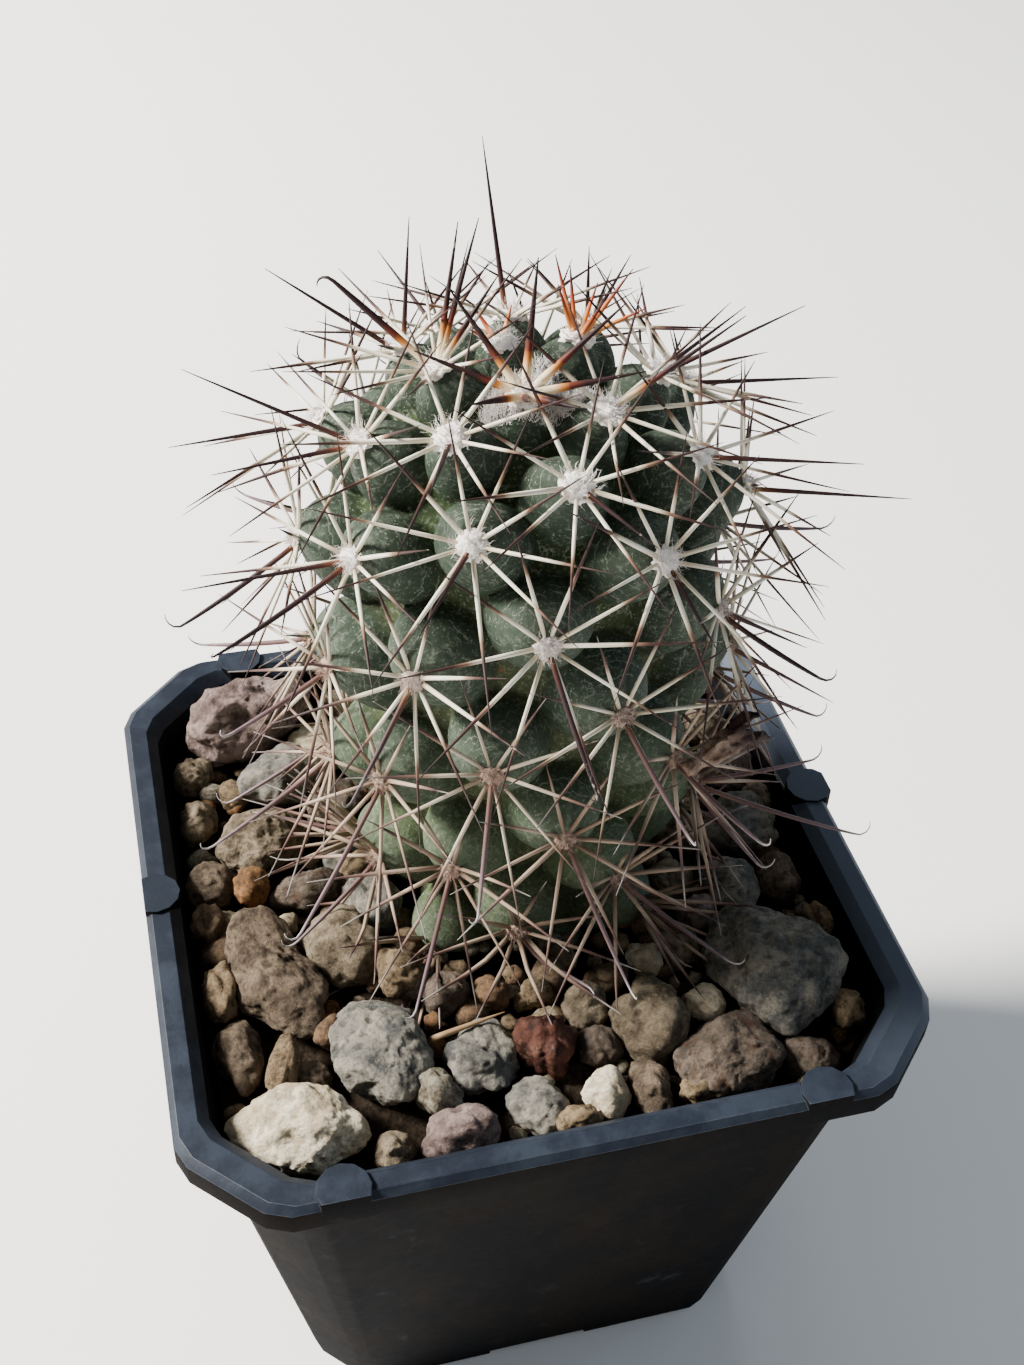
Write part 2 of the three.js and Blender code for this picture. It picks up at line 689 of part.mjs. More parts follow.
// Stones of about one size fill what is left, from a jittered grid.
function fillerStones(typicalSize) {
  const pitch = typicalSize * 0.62;
  const reach = Math.floor(innerTopHalfWidth / pitch);
  const kinds = ["tan", "brown", "grey", "rust", "cream", "brown"];
  const stones = [];
  for (let row = -reach; row <= reach; row++) {
    for (let column = -reach; column <= reach; column++) {
      const number = stones.length + 100 * typicalSize;
      const x = (column + 0.5 * (row % 2) + 0.5 * (chance(number, 1) - 0.5)) * pitch;
      const y = (row + 0.5 * (chance(number, 2) - 0.5)) * pitch;
      const size = typicalSize * (0.85 + 0.3 * chance(number, 3));
      const kind = kinds[Math.floor(chance(number, 4) * kinds.length)];
      const cornerReach = Math.abs(x) + Math.abs(y) + size;
      if (cornerReach > (2 - cornerCutShare) * innerTopHalfWidth) continue; // it would cross a cut corner
      if (Math.hypot(x - openGrit[0], y - openGrit[1]) < openGrit[2]) continue;
      stones.push([x, y, size, size * (0.8 + 0.4 * chance(number, 5)), 180 * chance(number, 6), kind]);
    }
  }
  return stones;
}

const mostStones = 54; // with the fallen fruit
const smallestShare = 0.76; // a stone that has to shrink below this share of its size is left out
const largeStone = 8;
const stoneSunk = 0.4; // how deep the smaller stones sit in the grit
const openGrit = [3, -10, 9]; // middle and radius of the low grit by the stem's foot, where no filler lies

// Places the stones one by one. Each shrinks until it clears the stones before it, the plant and the pot.
function makeStones(plant, pot) {
  const made = [];
  const candidates = [fallenFruit, ...placedStones, ...fillerStones(7), ...fillerStones(5)];
  candidates.forEach(([x, y, width, length, turn, kind, reachUp], number) => {
    if (made.length >= mostStones) return;
    const ball = width > largeStone ? new THREE.IcosahedronGeometry(1, 1) : new THREE.DodecahedronGeometry(1);
    const lying = stoneFlatness * Math.min(width, length) + 0.6;
    const height = reachUp === undefined ? lying : reachUp + gritDepthBelowRim + stoneSunk;
    const shape = lump(ball, { width, length, height }, number, 0.28);
    shape.rotateX(radians(24 * (chance(number, 301) - 0.5)));
    shape.rotateZ(radians(turn));
    shape.computeBoundingBox();
    const highest = potHeight + (reachUp ?? -stoneTopBelowRim - 1.2 * chance(number, 300));
    const lowest = potHeight - gritDepthBelowRim - stoneSunk;
    for (let share = 1; share >= smallestShare; share -= 0.04) {
      const box = shape.boundingBox;
      const raise = Math.min(highest - box.max.z * share, lowest - box.min.z * share);
      const middle = new THREE.Vector3(x, y, raise);
      const stone = toSolid(shape.clone().scale(share, share, share).translate(middle.x, middle.y, middle.z));
      const room = toSolid(widened(shape, share).translate(middle.x, middle.y, middle.z));
      const reach = Math.max(width, length) * share;
      const near = made.filter((other) => other.middle.distanceTo(middle) < reach / 2 + other.reach / 2 + 1);
      const clear = near.every((other) => room.intersect(other.stone).volume() < 1e-6);
      if (!clear || room.intersect(pot).volume() > 1e-6 || room.intersect(plant).volume() > 1e-6) continue;
      made.push({ stone, room, middle, reach, kind });
      return;
    }
  });
  return made;
}

// A stone's shape at a share of its size, with the seating gap added all round.
function widened(shape, share) {
  const box = shape.boundingBox.getSize(new THREE.Vector3()).multiplyScalar(share);
  const wider = (size) => (share * (size + 2 * seatGap)) / size;
  return shape.clone().scale(wider(box.x), wider(box.y), wider(box.z));
}

// The body of grit under the top stones: it fills the pot, with a rough top that the stones sit in.
function makeGritBed(stemHole, stones) {
  const cells = 8;
  const topHeight = potHeight - gritDepthBelowRim;
  const bottomHeight = floorThickness + seatGap;
  const clearOfWall = seatGap + 0.1;
  const bendHeight = floorThickness + floorCorner;
  const footSide = innerHalfWidth(bendHeight) - clearOfWall;
  const body = toSolid(
    turnedSquare([
      [0, bottomHeight],
      [footSide - floorCorner, bottomHeight],
      [footSide, bendHeight],
      [innerHalfWidth(potHeight - 2) - clearOfWall, potHeight - 2],
      [0, potHeight - 2],
    ]),
  );
  const width = 2 * innerTopHalfWidth;
  const block = new THREE.BoxGeometry(width, width, topHeight, cells, cells, 1);
  block.translate(0, 0, topHeight / 2);
  const place = block.getAttribute("position");
  for (let i = 0; i < place.count; i++) {
    if (place.getZ(i) < topHeight - 1) continue;
    const column = Math.round(((place.getX(i) + width / 2) / width) * cells);
    const row = Math.round(((place.getY(i) + width / 2) / width) * cells);
    place.setZ(i, topHeight + gritRoughness * (chance(row, column + 500) - 0.5));
  }
  let bed = body.intersect(toSolid(block)).subtract(stemHole);
  for (const { room } of stones) bed = bed.subtract(room);
  return largestBody(bed);
}

// Drops the crumbs that a cut leaves loose.
function largestBody(solid) {
  return solid.decompose().reduce((largest, body) => (body.volume() > largest.volume() ? body : largest));
}

// A withered flower: a shrivelled tube that flares into a few folded, ragged petals.
function witheredFlower(length, radius, seed) {
  const columns = 10;
  const profile = [
    [0, 0],
    [0.5, 0],
    [0.42, 0.2],
    [0.75, 0.45],
    [0.7, 0.7],
    [1, 1],
    [0.6, 0.88],
    [0.3, 0.66],
    [0, 0.6],
  ];
  const foldsFrom = 0.3; // share of the length where the folds begin
  const lathe = new THREE.LatheGeometry(profile.map(([r, h]) => new THREE.Vector2(r, h)), columns);
  const place = lathe.getAttribute("position");
  for (let i = 0; i < place.count; i++) {
    const [reach, share] = profile[i % profile.length];
    const column = Math.floor(i / profile.length) % columns;
    const turn = (column / columns) * 2 * Math.PI;
    const fold = share > foldsFrom ? 1 + 0.22 * Math.cos(turn * 5) : 1;
    const ragged = reach > 0 ? 1 + 0.25 * share * (chance(seed, column) - 0.5) : 1;
    const out = radius * reach * fold;
    place.setXYZ(i, out * Math.cos(turn), out * Math.sin(turn) * 0.75, length * share * ragged);
  }
  return lathe;
}

// Stands the withered flower on its areole, pointing sideways and up. The wider copy is the room it takes.
function makeWitheredFlower(extra) {
  const frame = areoleFrame(areoles[witheredFlowerAreole]);
  const radius = witheredFlowerRadius + extra;
  const flower = witheredFlower(witheredFlowerLength + 2 * extra, radius, 7);
  flower.translate(0, 0, -extra);
  const along = new THREE.Vector3().addScaledVector(frame.side, witheredFlowerAim.side);
  along.addScaledVector(frame.up, witheredFlowerAim.up).addScaledVector(frame.out, witheredFlowerAim.out);
  along.normalize();
  flower.applyQuaternion(new THREE.Quaternion().setFromUnitVectors(new THREE.Vector3(0, 0, 1), along));
  const start = frame.tip.clone().addScaledVector(frame.up, -0.6).addScaledVector(frame.out, 1.2);
  flower.translate(start.x, start.y, start.z);
  return toSolid(flower);
}

// A dropped spine, lowered until it lies on the stones.
function makeFallenSpine(stones) {
  const [from, to] = fallenSpineEnds.map(([x, y]) => new THREE.Vector3(x, y, potHeight + fallenSpineHeight));
  const along = to.clone().sub(from);
  const profile = [0, fallenSpineRadius, fallenSpineRadius * 0.8, 0];
  const stops = [0, 0.08, 0.6, 1];
  const points = profile.map((radius, i) => new THREE.Vector2(radius, stops[i] * along.length()));
  const spine = new THREE.LatheGeometry(points, 6);
  const upright = new THREE.Vector3(0, 1, 0);
  spine.applyQuaternion(new THREE.Quaternion().setFromUnitVectors(upright, along.normalize()));
  spine.translate(from.x, from.y, from.z);
  const step = 0.05;
  const touches = (solid) => stones.some(({ room }) => room.intersect(solid).volume() > 1e-6);
  const gritHeight = potHeight - gritDepthBelowRim;
  let lying = toSolid(spine);
  while (!touches(lying.translate([0, 0, -step])) && lying.boundingBox().min[2] > gritHeight) {
    lying = lying.translate([0, 0, -step]);
  }
  return lying;
}

const pot = makePot();
const spiny = areoles.filter(({ number, height }) => number >= budAreoles && height > lowestSpinyAreole);
const grown = spiny.reduce((whole, areole) => whole.add(makeSpineStar(areole)), makeStem());
const plant = largestBody(grown.subtract(makeWitheredFlower(seatGap)));
const stones = makeStones(plant, pot);

const cactusInPot = new THREE.Group();
cactusInPot.add(named("pot", toGeometry(pot), plastic));
cactusInPot.add(named("grit_bed", toGeometry(makeGritBed(makeStemHole(), stones)), grit));
cactusInPot.add(named("cactus", toGeometry(plant), skin));
cactusInPot.add(named("withered_flower", toGeometry(makeWitheredFlower(0)), driedPetal));
cactusInPot.add(named("fallen_spine", toGeometry(makeFallenSpine(stones)), drySpine));
stones.forEach(({ stone, kind }, i) => {
  const isFruit = kind === "fruit";
  const name = isFruit ? "fallen_fruit" : `${kind}_stone_${String(i).padStart(2, "0")}`;
  cactusInPot.add(named(name, toGeometry(stone), isFruit ? driedFruit : stoneMaterials[kind]));
});

export default cactusInPot;
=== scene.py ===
# A small round cactus in a square nursery pot topped with mineral grit.
import math

import bmesh
import bpy
import numpy as np
from mathutils import Matrix, Vector, noise


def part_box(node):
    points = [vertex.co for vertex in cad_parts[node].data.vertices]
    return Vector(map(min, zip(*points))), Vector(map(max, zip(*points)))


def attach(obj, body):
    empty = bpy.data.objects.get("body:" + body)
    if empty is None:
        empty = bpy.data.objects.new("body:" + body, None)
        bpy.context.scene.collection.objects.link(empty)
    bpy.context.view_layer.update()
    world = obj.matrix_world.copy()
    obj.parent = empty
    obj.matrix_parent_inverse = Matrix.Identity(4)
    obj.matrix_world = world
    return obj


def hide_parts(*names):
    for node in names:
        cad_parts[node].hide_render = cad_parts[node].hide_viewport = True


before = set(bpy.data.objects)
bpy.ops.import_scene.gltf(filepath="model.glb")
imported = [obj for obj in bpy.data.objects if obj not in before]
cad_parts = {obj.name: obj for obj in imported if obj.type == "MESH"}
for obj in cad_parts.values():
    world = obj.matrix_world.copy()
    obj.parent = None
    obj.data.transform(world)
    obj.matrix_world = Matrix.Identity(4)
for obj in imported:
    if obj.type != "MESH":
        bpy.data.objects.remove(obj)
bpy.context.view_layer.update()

mm = 0.001
rimHeight = 57.0  # the pot's rim, in millimetres above its underside


def chance(a, b):
    # a number between 0 and 1 that looks random and is the same in every run
    wave = math.sin(a * 12.9898 + b * 78.233) * 43758.5453
    return wave - math.floor(wave)


def mix(a, b, share):
    return a + (b - a) * share


def clamp(value, low=0.0, high=1.0):
    return max(low, min(high, value))


def addObject(name, data):
    thing = bpy.data.objects.new(name, data)
    bpy.context.collection.objects.link(thing)
    return thing


# Camera: where the photograph was taken from, worked out from the rim's four corners

camera = {
    "lens": 44.3,
    "longSide": 36.0,
    "place": (-30.0, -108.47, 183.19),
    "forward": (0.20021, 0.70896, -0.67623),
    "roll": 2.41,
}


def placeCamera():
    data = bpy.data.cameras.new("camera")
    data.lens = camera["lens"]
    data.sensor_fit = "VERTICAL"
    data.sensor_height = camera["longSide"]
    data.clip_start = 0.005
    forward = Vector(camera["forward"]).normalized()
    level = forward.cross(Vector((0, 0, 1))).normalized()
    above = level.cross(forward)
    turn = math.radians(camera["roll"])
    right = level * math.cos(turn) + above * math.sin(turn)
    up = above * math.cos(turn) - level * math.sin(turn)
    pose = Matrix((right, up, -forward)).transposed().to_4x4()
    pose.translation = Vector(camera["place"]) * mm
    bpy.context.scene.camera = addObject("camera", data)
    bpy.context.scene.camera.matrix_world = pose


placeCamera()


# Shader helpers

class Wire:
    # wraps a node's output so that sums read as sums
    def __init__(self, shader, socket):
        self.shader = shader
        self.socket = socket

    def sum(self, operation, *values):
        return self.shader.node("ShaderNodeMath", {"operation": operation}, dict(enumerate(values)))

    def __add__(self, other):
        return self.sum("ADD", self, other)

    def __radd__(self, other):
        return self.sum("ADD", other, self)

    def __sub__(self, other):
        return self.sum("SUBTRACT", self, other)

    def __rsub__(self, other):
        return self.sum("SUBTRACT", other, self)

    def __mul__(self, other):
        return self.sum("MULTIPLY", self, other)

    def __rmul__(self, other):
        return self.sum("MULTIPLY", other, self)

    def __pow__(self, other):
        return self.sum("POWER", self, other)

    def atLeast(self, other):
        return self.sum("MAXIMUM", self, other)

    def atMost(self, other):
        return self.sum("MINIMUM", self, other)


class Shader:
    def __init__(self, name, slot):
        self.material = bpy.data.materials.new(name)
        self.material.use_nodes = True
        self.tree = self.material.node_tree
        self.surface = self.tree.nodes["Principled BSDF"]
        self.slot = slot

    def node(self, kind, settings=None, inputs=None, output=0):
        made = self.tree.nodes.new(kind)
        for key, value in (settings or {}).items():
            if key == "stops":
                self.fillRamp(made.color_ramp, value)
            else:
                setattr(made, key, value)
        for key, value in (inputs or {}).items():
            self.feed(made.inputs[key], value)
        return Wire(self, made.outputs[output])

    def feed(self, socket, value):
        if isinstance(value, Wire):
            self.tree.links.new(value.socket, socket)
        elif isinstance(value, tuple) and len(value) == 3 and socket.type == "RGBA":
            socket.default_value = (*value, 1)
        else:
            socket.default_value = value

    def fillRamp(self, ramp, stops):
        while len(ramp.elements) < len(stops):
            ramp.elements.new(1)
        for element, (place, colour) in zip(ramp.elements, stops):
            element.position = place
            element.color = (*colour, 1)

    def place(self):
        return self.node("ShaderNodeTexCoord", output="Object")

    def attribute(self, name):
        return self.node("ShaderNodeAttribute", {"attribute_name": name}, output="Fac")

    def grain(self, size, detail, roughness=0.6, distortion=0.0):
        # noise whose spots are about size millimetres across
        return self.node("ShaderNodeTexNoise", None, {
            "Vector": self.place(), "Scale": 1 / (size * mm), "Detail": detail,
            "Roughness": roughness, "Distortion": distortion,
        })

    def dots(self, size):
        return self.node("ShaderNodeTexVoronoi", None, {"Vector": self.place(), "Scale": 1 / (size * mm)})

    def curls(self, size, width):
        # thin curly lines: where a noise passes its middle value
        line = self.grain(size, 3, 0.55, distortion=0.8) - 0.5
        return self.step(line.sum("ABSOLUTE", line), width, width * 0.3)

    def ramp(self, value, stops):
        return self.node("ShaderNodeValToRGB", {"stops": stops}, {0: value})

    def step(self, value, low, high):
        # 0 at low, 1 at high and smooth between, whichever of the two is larger
        settings = {"interpolation_type": "SMOOTHSTEP"}
        return self.node("ShaderNodeMapRange", settings, {0: value, 1: low, 2: high})

    def blend(self, share, first, second):
        return self.node("ShaderNodeMix", {"data_type": "RGBA"}, {0: share, 6: first, 7: second}, output=2)

    def cover(self, share, colour):
        # lays another colour over the finish's own
        self.colour = self.blend(share, self.colour, colour)

    def bump(self, height, depth, strength, normal=None):
        # depth in millimetres
        inputs = {"Height": height, "Distance": depth * mm, "Strength": strength}
        if normal:
            inputs["Normal"] = normal
        return self.node("ShaderNodeBump", None, inputs)

    def finish(self, roughness, normal=None, specular=0.5):
        self.feed(self.surface.inputs["Base Color"], self.colour)
        self.feed(self.surface.inputs["Roughness"], roughness)
        self.surface.inputs["Specular IOR Level"].default_value = specular
        if normal:
            self.feed(self.surface.inputs["Normal"], normal)
        return self


def meshOf(name, bm):
    mesh = bpy.data.meshes.new(name)
    bm.to_mesh(mesh)
    bm.free()
    return mesh


def put(name, bm, shader, replaces):
    # makes a bmesh, modelled in millimetres, one of the object's pieces
    bmesh.ops.scale(bm, vec=(mm, mm, mm), verts=bm.verts)
    return putMesh(name, meshOf(name, bm), shader, replaces)


def putMesh(name, mesh, shader, replaces):
    mesh.shade_smooth()
    mesh.materials.append(shader.material)
    piece = addObject(name, mesh)
    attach(piece, "root")
    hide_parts(*replaces)
    return piece


def readPlaces(mesh):
    places = np.empty(len(mesh.vertices) * 3, dtype=np.float32)
    mesh.vertices.foreach_get("co", places)
    return places.reshape(-1, 3).astype(float)


def setPlaces(mesh, places):
    # the places are in millimetres
    mesh.vertices.foreach_set("co", np.ascontiguousarray(places * mm, dtype=np.float32).ravel())
    mesh.update()


def setValues(mesh, name, values):
    layer = mesh.attributes.new(name, "FLOAT", "POINT")
    layer.data.foreach_set("value", np.ascontiguousarray(values, dtype=np.float32))


# The stem: the outline through its tubercles' tips, with heights in millimetres from the rim

stem = {
    "radius": 18.8,
    "shoulder": 40.0,  # height where the crown's dome begins
    "top": 57.4,
    "foot": -12.0,
    "waist": 34.0,  # height below which it narrows
    "narrowest": 1.5,  # height below which it keeps its radius
    "narrowing": 2.67,
    "narrowingPower": 2.6,
    "footAt": (2.63, 4.2),
    "lean": (-0.039, -0.09),
    "youngArea": 19.0,  # square millimetres of skin to each areole at the crown
    "grownArea": 140.0,
    "grownAt": 28.0,  # distance from the crown where areoles are fully spaced
    "grownSpacing": 11.8,
    "oldest": 58,  # the spines and wool of areoles from this one down are fully aged
    "turn": 137.508,  # degrees from one areole to the next
    "start": -21.3,
    "offset": 0.12,  # of a step, before the first areole
    "liftShare": 0.46,  # height of a tubercle against its spacing
    "widthShare": 0.53,
    "roundness": 0.8,
    "upturn": 0.25,
    "fadeOver": 6.0,  # tubercles flatten over this height above the foot
    "columns": 320,
    "rows": 270,
}


def stemOutline():
    steps = 120
    swing = np.linspace(0, math.pi / 2, steps + 1)
    radius = list(stem["radius"] * np.sin(swing))
    height = list(stem["shoulder"] + (stem["top"] - stem["shoulder"]) * np.cos(swing))
    for i in range(1, steps + 1):
        level = mix(stem["shoulder"], stem["foot"], i / steps)
        below = clamp((stem["waist"] - level) / (stem["waist"] - stem["narrowest"]))
        radius.append(stem["radius"] - stem["narrowing"] * below ** stem["narrowingPower"])
        height.append(level)
    radius = np.array(radius)
    height = np.array(height)
    step = np.hypot(np.diff(radius), np.diff(height))
    along = np.concatenate([[0], np.cumsum(step)])
    density = 2 * math.pi * radius / areoleArea(along)
    count = np.concatenate([[0], np.cumsum((density[1:] + density[:-1]) / 2 * step)])
    slope = np.arctan2(-np.gradient(height, along), np.gradient(radius, along))
    return {"radius": radius, "height": height, "along": along, "count": count, "slope": slope}


def areoleArea(along):
    return mix(stem["youngArea"], stem["grownArea"], np.minimum(1, along / stem["grownAt"]))


outline = stemOutline()


def outlineAt(key, value):
    return {name: np.interp(value, outline[key], outline[name]) for name in outline}


def makeAreoles():
    areoles = []
    number = 0
    while number + stem["offset"] < outline["count"][-1]:
        place = outlineAt("count", number + stem["offset"])
        place["number"] = number
        place["turn"] = math.radians(stem["start"] + number * stem["turn"])
        place["spacing"] = math.sqrt(areoleArea(place["along"]))
        areoles.append(place)
        number += 1
    return areoles


areoles = makeAreoles()


def ageOf(areole):
    return clamp(areole["number"] / stem["oldest"])


def grownShare(areole, least):
    return clamp(areole["spacing"] / stem["grownSpacing"], least, 1)


def tubercleLift(radius, along, turn):
    # how far the tubercles lift the skin, in millimetres
    lift = np.zeros_like(along)
    for areole in areoles:
        width = areole["spacing"] * stem["widthShare"]
        down = (along - areole["along"]) / width
        across = np.arctan2(np.sin(turn - areole["turn"]), np.cos(turn - areole["turn"]))
        side = across * np.maximum(radius, 0.4 * areole["spacing"]) / width
        near = np.maximum(0, 1 - down**2 - side**2)
        lift = np.maximum(lift, near ** stem["roundness"] * areole["spacing"] * stem["liftShare"])
    return lift


def skinPoint(along, turn):
    # places on the skin, in millimetres, for arrays of distance from the crown and turn
    along = np.asarray(along, dtype=float)
    turn = np.asarray(turn, dtype=float)
    place = outlineAt("along", along)
    depth = np.sqrt(areoleArea(along)) * stem["liftShare"]
    lift = tubercleLift(place["radius"], along, turn)
    fade = np.clip((place["height"] - stem["foot"]) / stem["fadeOver"], 0, 1)
    inward = depth - lift * fade
    out = np.sin(place["slope"])
    up = np.cos(place["slope"])
    radius = np.maximum(0, place["radius"] - inward * out)
    height = place["height"] - inward * up + lift * fade * stem["upturn"] * out
    return onAxis(radius, height, turn), lift / depth


def onAxis(radius, height, turn):
    x = stem["footAt"][0] + stem["lean"][0] * height + radius * np.cos(turn)
    y = stem["footAt"][1] + stem["lean"][1] * height + radius * np.sin(turn)
    return np.stack([x, y, height + rimHeight], axis=-1)


def skinShader():
    s = Shader("cactus_skin", "plant_skin")
    lift = s.attribute("lift")
    age = s.attribute("age")
    cloud = s.grain(9, 3)
    patch = s.grain(3.2, 5, 0.65)
    fine = s.grain(0.45, 5, 0.7)
    young = s.blend(cloud, (0.022, 0.034, 0.024), (0.04, 0.056, 0.038))
    old = s.blend(cloud, (0.041, 0.065, 0.029), (0.108, 0.14, 0.072))
    s.colour = s.blend(s.step(age, 0.35, 0.8), young, old)
    bloom = s.step(lift + patch * 0.5 - 0.25, 0.3, 1.05)
    s.cover(bloom * 0.5, s.blend(age, (0.064, 0.08, 0.066), (0.142, 0.173, 0.126)))
    # the clefts between tubercles: painted shade, and the yellow-green the skin has there
    cleft = s.step(lift + cloud * 0.2, 0.42, 0.08)
    deep = s.blend(s.step(age, 0.1, 0.4), (0.026, 0.042, 0.01), (0.07, 0.077, 0.034))
    s.cover(cleft * 0.65, deep)
    specks = s.step(s.dots(0.4), 0.22, 0.1) * s.step(s.grain(2.4, 2), 0.43, 0.58)
    s.cover(specks * 0.6, (0.34, 0.35, 0.3))
    s.cover(s.step(fine, 0.5, 0.32) * 0.5, (0.018, 0.03, 0.018))
    s.cover(s.step(fine, 0.52, 0.66) * 0.38, (0.2, 0.225, 0.18))
    scratch = s.curls(2.2, 0.012) * s.step(s.grain(4, 2), 0.46, 0.56) * s.step(lift, 0.12, 0.35)
    s.cover(scratch * 0.24, (0.34, 0.35, 0.3))
    away = (1 - lift.atMost(1.0) ** 1.25).atLeast(0.0) ** 0.5
    rings = away * 7 + patch * 2.2
    stretched = s.step(rings.sum("PINGPONG", rings, 0.5), 0.055, 0.01)
    stretched = stretched * s.step(s.grain(2.6, 3), 0.48, 0.58) * s.step(away, 0.3, 0.45)
    s.cover(stretched * 0.4, (0.33, 0.35, 0.29))
    corky = s.step(s.grain(4.2, 6, 0.7), 0.6, 0.68) * s.step(lift, 0.3, 0.1)
    s.cover(corky, (0.14, 0.076, 0.034))
    yellowed = s.step(s.grain(3.5, 4, 0.6), 0.6, 0.7) * s.step(age, 0.82, 0.95)
    s.cover(yellowed * 0.6, (0.28, 0.21, 0.08))
    normal = s.bump(fine, 0.1, 0.7, s.bump(s.grain(1.8, 4), 0.28, 0.6))
    return s.finish(0.6 + 0.12 * fine, normal, 0.05)


def makeStem():
    # a grid wrapped round the axis, with its first row gathered in the crown
    bm = bmesh.new()
    bmesh.ops.create_grid(bm, x_segments=stem["columns"], y_segments=stem["rows"], size=0.5)
    mesh = meshOf("cactus_stem", bm)
    grid = readPlaces(mesh)
    turn = (grid[:, 0] + 0.5) * 2 * math.pi
    along = np.clip(0.5 - grid[:, 1], 0, 1) * outline["along"][-1]
    places, lift = skinPoint(along, turn)
    places[along < 1e-6] = skinPoint(np.zeros(1), np.zeros(1))[0][0]
    setPlaces(mesh, places)
    height = outlineAt("along", along)["height"]
    setValues(mesh, "lift", lift)
    setValues(mesh, "age", np.clip((stem["top"] - height) / (stem["top"] - stem["foot"]), 0, 1))
    bm = bmesh.new()
    bm.from_mesh(mesh)
    bmesh.ops.remove_doubles(bm, verts=bm.verts, dist=1e-6)
    foot = [edge for edge in bm.edges if edge.is_boundary]
    bmesh.ops.holes_fill(bm, edges=foot, sides=0)
    bmesh.ops.recalc_face_normals(bm, faces=bm.faces)
    bm.to_mesh(mesh)
    bm.free()
    return putMesh("cactus_stem", mesh, skinShader(), ["cactus"])


makeStem()
print("stem done, with", len(areoles), "areoles")


# Spines

spines = {
    "radials": 10,
    "radialLength": 11.2,
    "radialThick": 0.36,
    "radialRise": (16, 27),  # degrees from the skin, on grown and on old areoles
    "youngRise": 52,
    "restingRise": 58,
    "oldFrom": 38,  # areoles from this one down have thicker, more raised spines
    "oldOver": 16,
    "centralLength": 13.0,
    "centralThick": 0.46,
    "youngCentralThick": 0.74,
    "thickBefore": 7,  # central spines before this areole are thicker
    "thickOver": 5,
    "centralAim": (180, 44),  # degrees round the areole from straight up, and from the skin
    "uprightAim": (0, 56),
    "centralSpread": (60, 20, 0.3),  # of turn, rise and length
    "orangeThick": 0.58,
    "hookedLength": 15.0,
    "hookedFrom": 20,  # areoles from this one down carry a hooked spine
    "hookLength": 1.9,
    "hookTurn": 2.3,  # radians
    "hookedTaper": 3.4,
    "radialsFrom": 4,  # areoles before this one have only a few thick young spines
    "orangeAreoles": (1, 3),
    "taper": (2.0, 1.3, 1.4, 2.4, 2.0),  # of radial, orange, central, hair and dropped spines
    "thinning": 0.88,  # how much of its thickness a spine loses
    "oldestUpright": 12,  # areoles before this one also hold a central spine that points up
    "youngAreoles": 5,
    "youngOver": 3,
    "youngGrowth": 0.85,
    "budAreoles": 1,
    "budGrowth": 0.38,
    "lowestHeight": -8.5,  # no areole under this height above the rim has spines
    "restingFrom": 58,  # the spines of areoles from this one down lie on the grit
    "floor": -0.75,  # no spine dips lower than this from the rim's height
    "floorOverRim": 1.0,
    "rimFrom": 28.6,  # half width where that floor begins to rise over the rim
    "rimOver": 2.5,
    "sides": 6,
    "rings": 6,
    "centralRings": 16,
}

# central spines seen in the photograph, by areole: turn from straight up, rise, length and hook
chosenCentrals = {
    1: [(163, 53, 3.4), (132, 30, 2.6), (-100, 60, 2.8)],
    2: [
        (-50, 37, 9.4), (5, 49, 9.8), (58, 33, 9.8), (86, 15, 9),
        (-79, 16, 8.5), (-140, 30, 6.5), (133, 27, 6), (173, 42, 5),
    ],
    3: [
        (81, 58, 6.4), (92, 66, 5.4), (160, 72, 4.4), (-159, 62, 6.6),
        (-138, 37, 5.6), (40, 60, 4.5), (-60, 55, 5),
    ],
    4: [(-47, 52, 10.8), (-40, 46, 11.4), (-27, 31, 8.2), (-151, 53, 11.8, "hooked down")],
    5: [(110, 45, 12)],
    6: [(104, 84, 14)],
    7: [(150, 30, 8)],
    8: [(-168, 57, 12.2), (140, 31, 11)],
    9: [(146, 58, 12), (-50, 60, 10)],
    10: [(150, 20, 7.5)],
    11: [(175, 42, 11), (15, 64, 6.5)],
    12: [(-130, 51, 14), (-171, 33, 11)],
    13: [(165, 45, 12)],
    15: [(-172, 41, 10)],
    18: [(180, 20, 7.5)],
    20: [(-171, 37, 14, "hooked"), (-135, 45, 12.5)],
    21: [(-144, 66, 13.2)],
    23: [(164, 30, 13.5, "hooked")],
    26: [(177, 55, 11.5, "hooked"), (140, 30, 9)],
    28: [(-175, 35, 12.5, "hooked")],
    31: [(170, 40, 13, "hooked")],
    33: [(176, 55, 11.5, "hooked")],
    34: [(-148, 60, 10)],
    36: [(179, 35, 13.5, "hooked")],
    39: [(177, 57, 12, "hooked")],
    41: [(172, 42, 17, "hooked")],
    44: [(163, 25, 17, "hooked")],
    47: [(150, 58, 18.5, "hooked"), (110, 45, 14, "hooked"), (-170, 40, 12, "hooked")],
    49: [(180, 32, 15.5, "hooked")],
    52: [(143, 35, 16, "hooked")],
    57: [(140, 15, 12, "hooked")],
}


def areoleFrame(areole):
    tip = skinPoint([areole["along"]], [areole["turn"]])[0][0]
    turn = areole["turn"]
    out = math.sin(areole["slope"])
    rise = math.cos(areole["slope"]) + stem["upturn"] * out
    outward = Vector((math.cos(turn) * out, math.sin(turn) * out, rise)).normalized()
    side = Vector((-math.sin(turn), math.cos(turn), 0))
    up = outward.cross(side).normalized()
    return Vector(tip), outward, up, side


def youth(areole):
    return clamp((spines["youngAreoles"] - areole["number"]) / spines["youngOver"])


def growth(areole):
    if areole["number"] <= spines["budAreoles"]:
        return spines["budGrowth"]
    return mix(1, spines["youngGrowth"], youth(areole))


def spiny():
    grown = areoles[spines["budAreoles"]:]
    return [areole for areole in grown if areole["height"] > spines["lowestHeight"]]


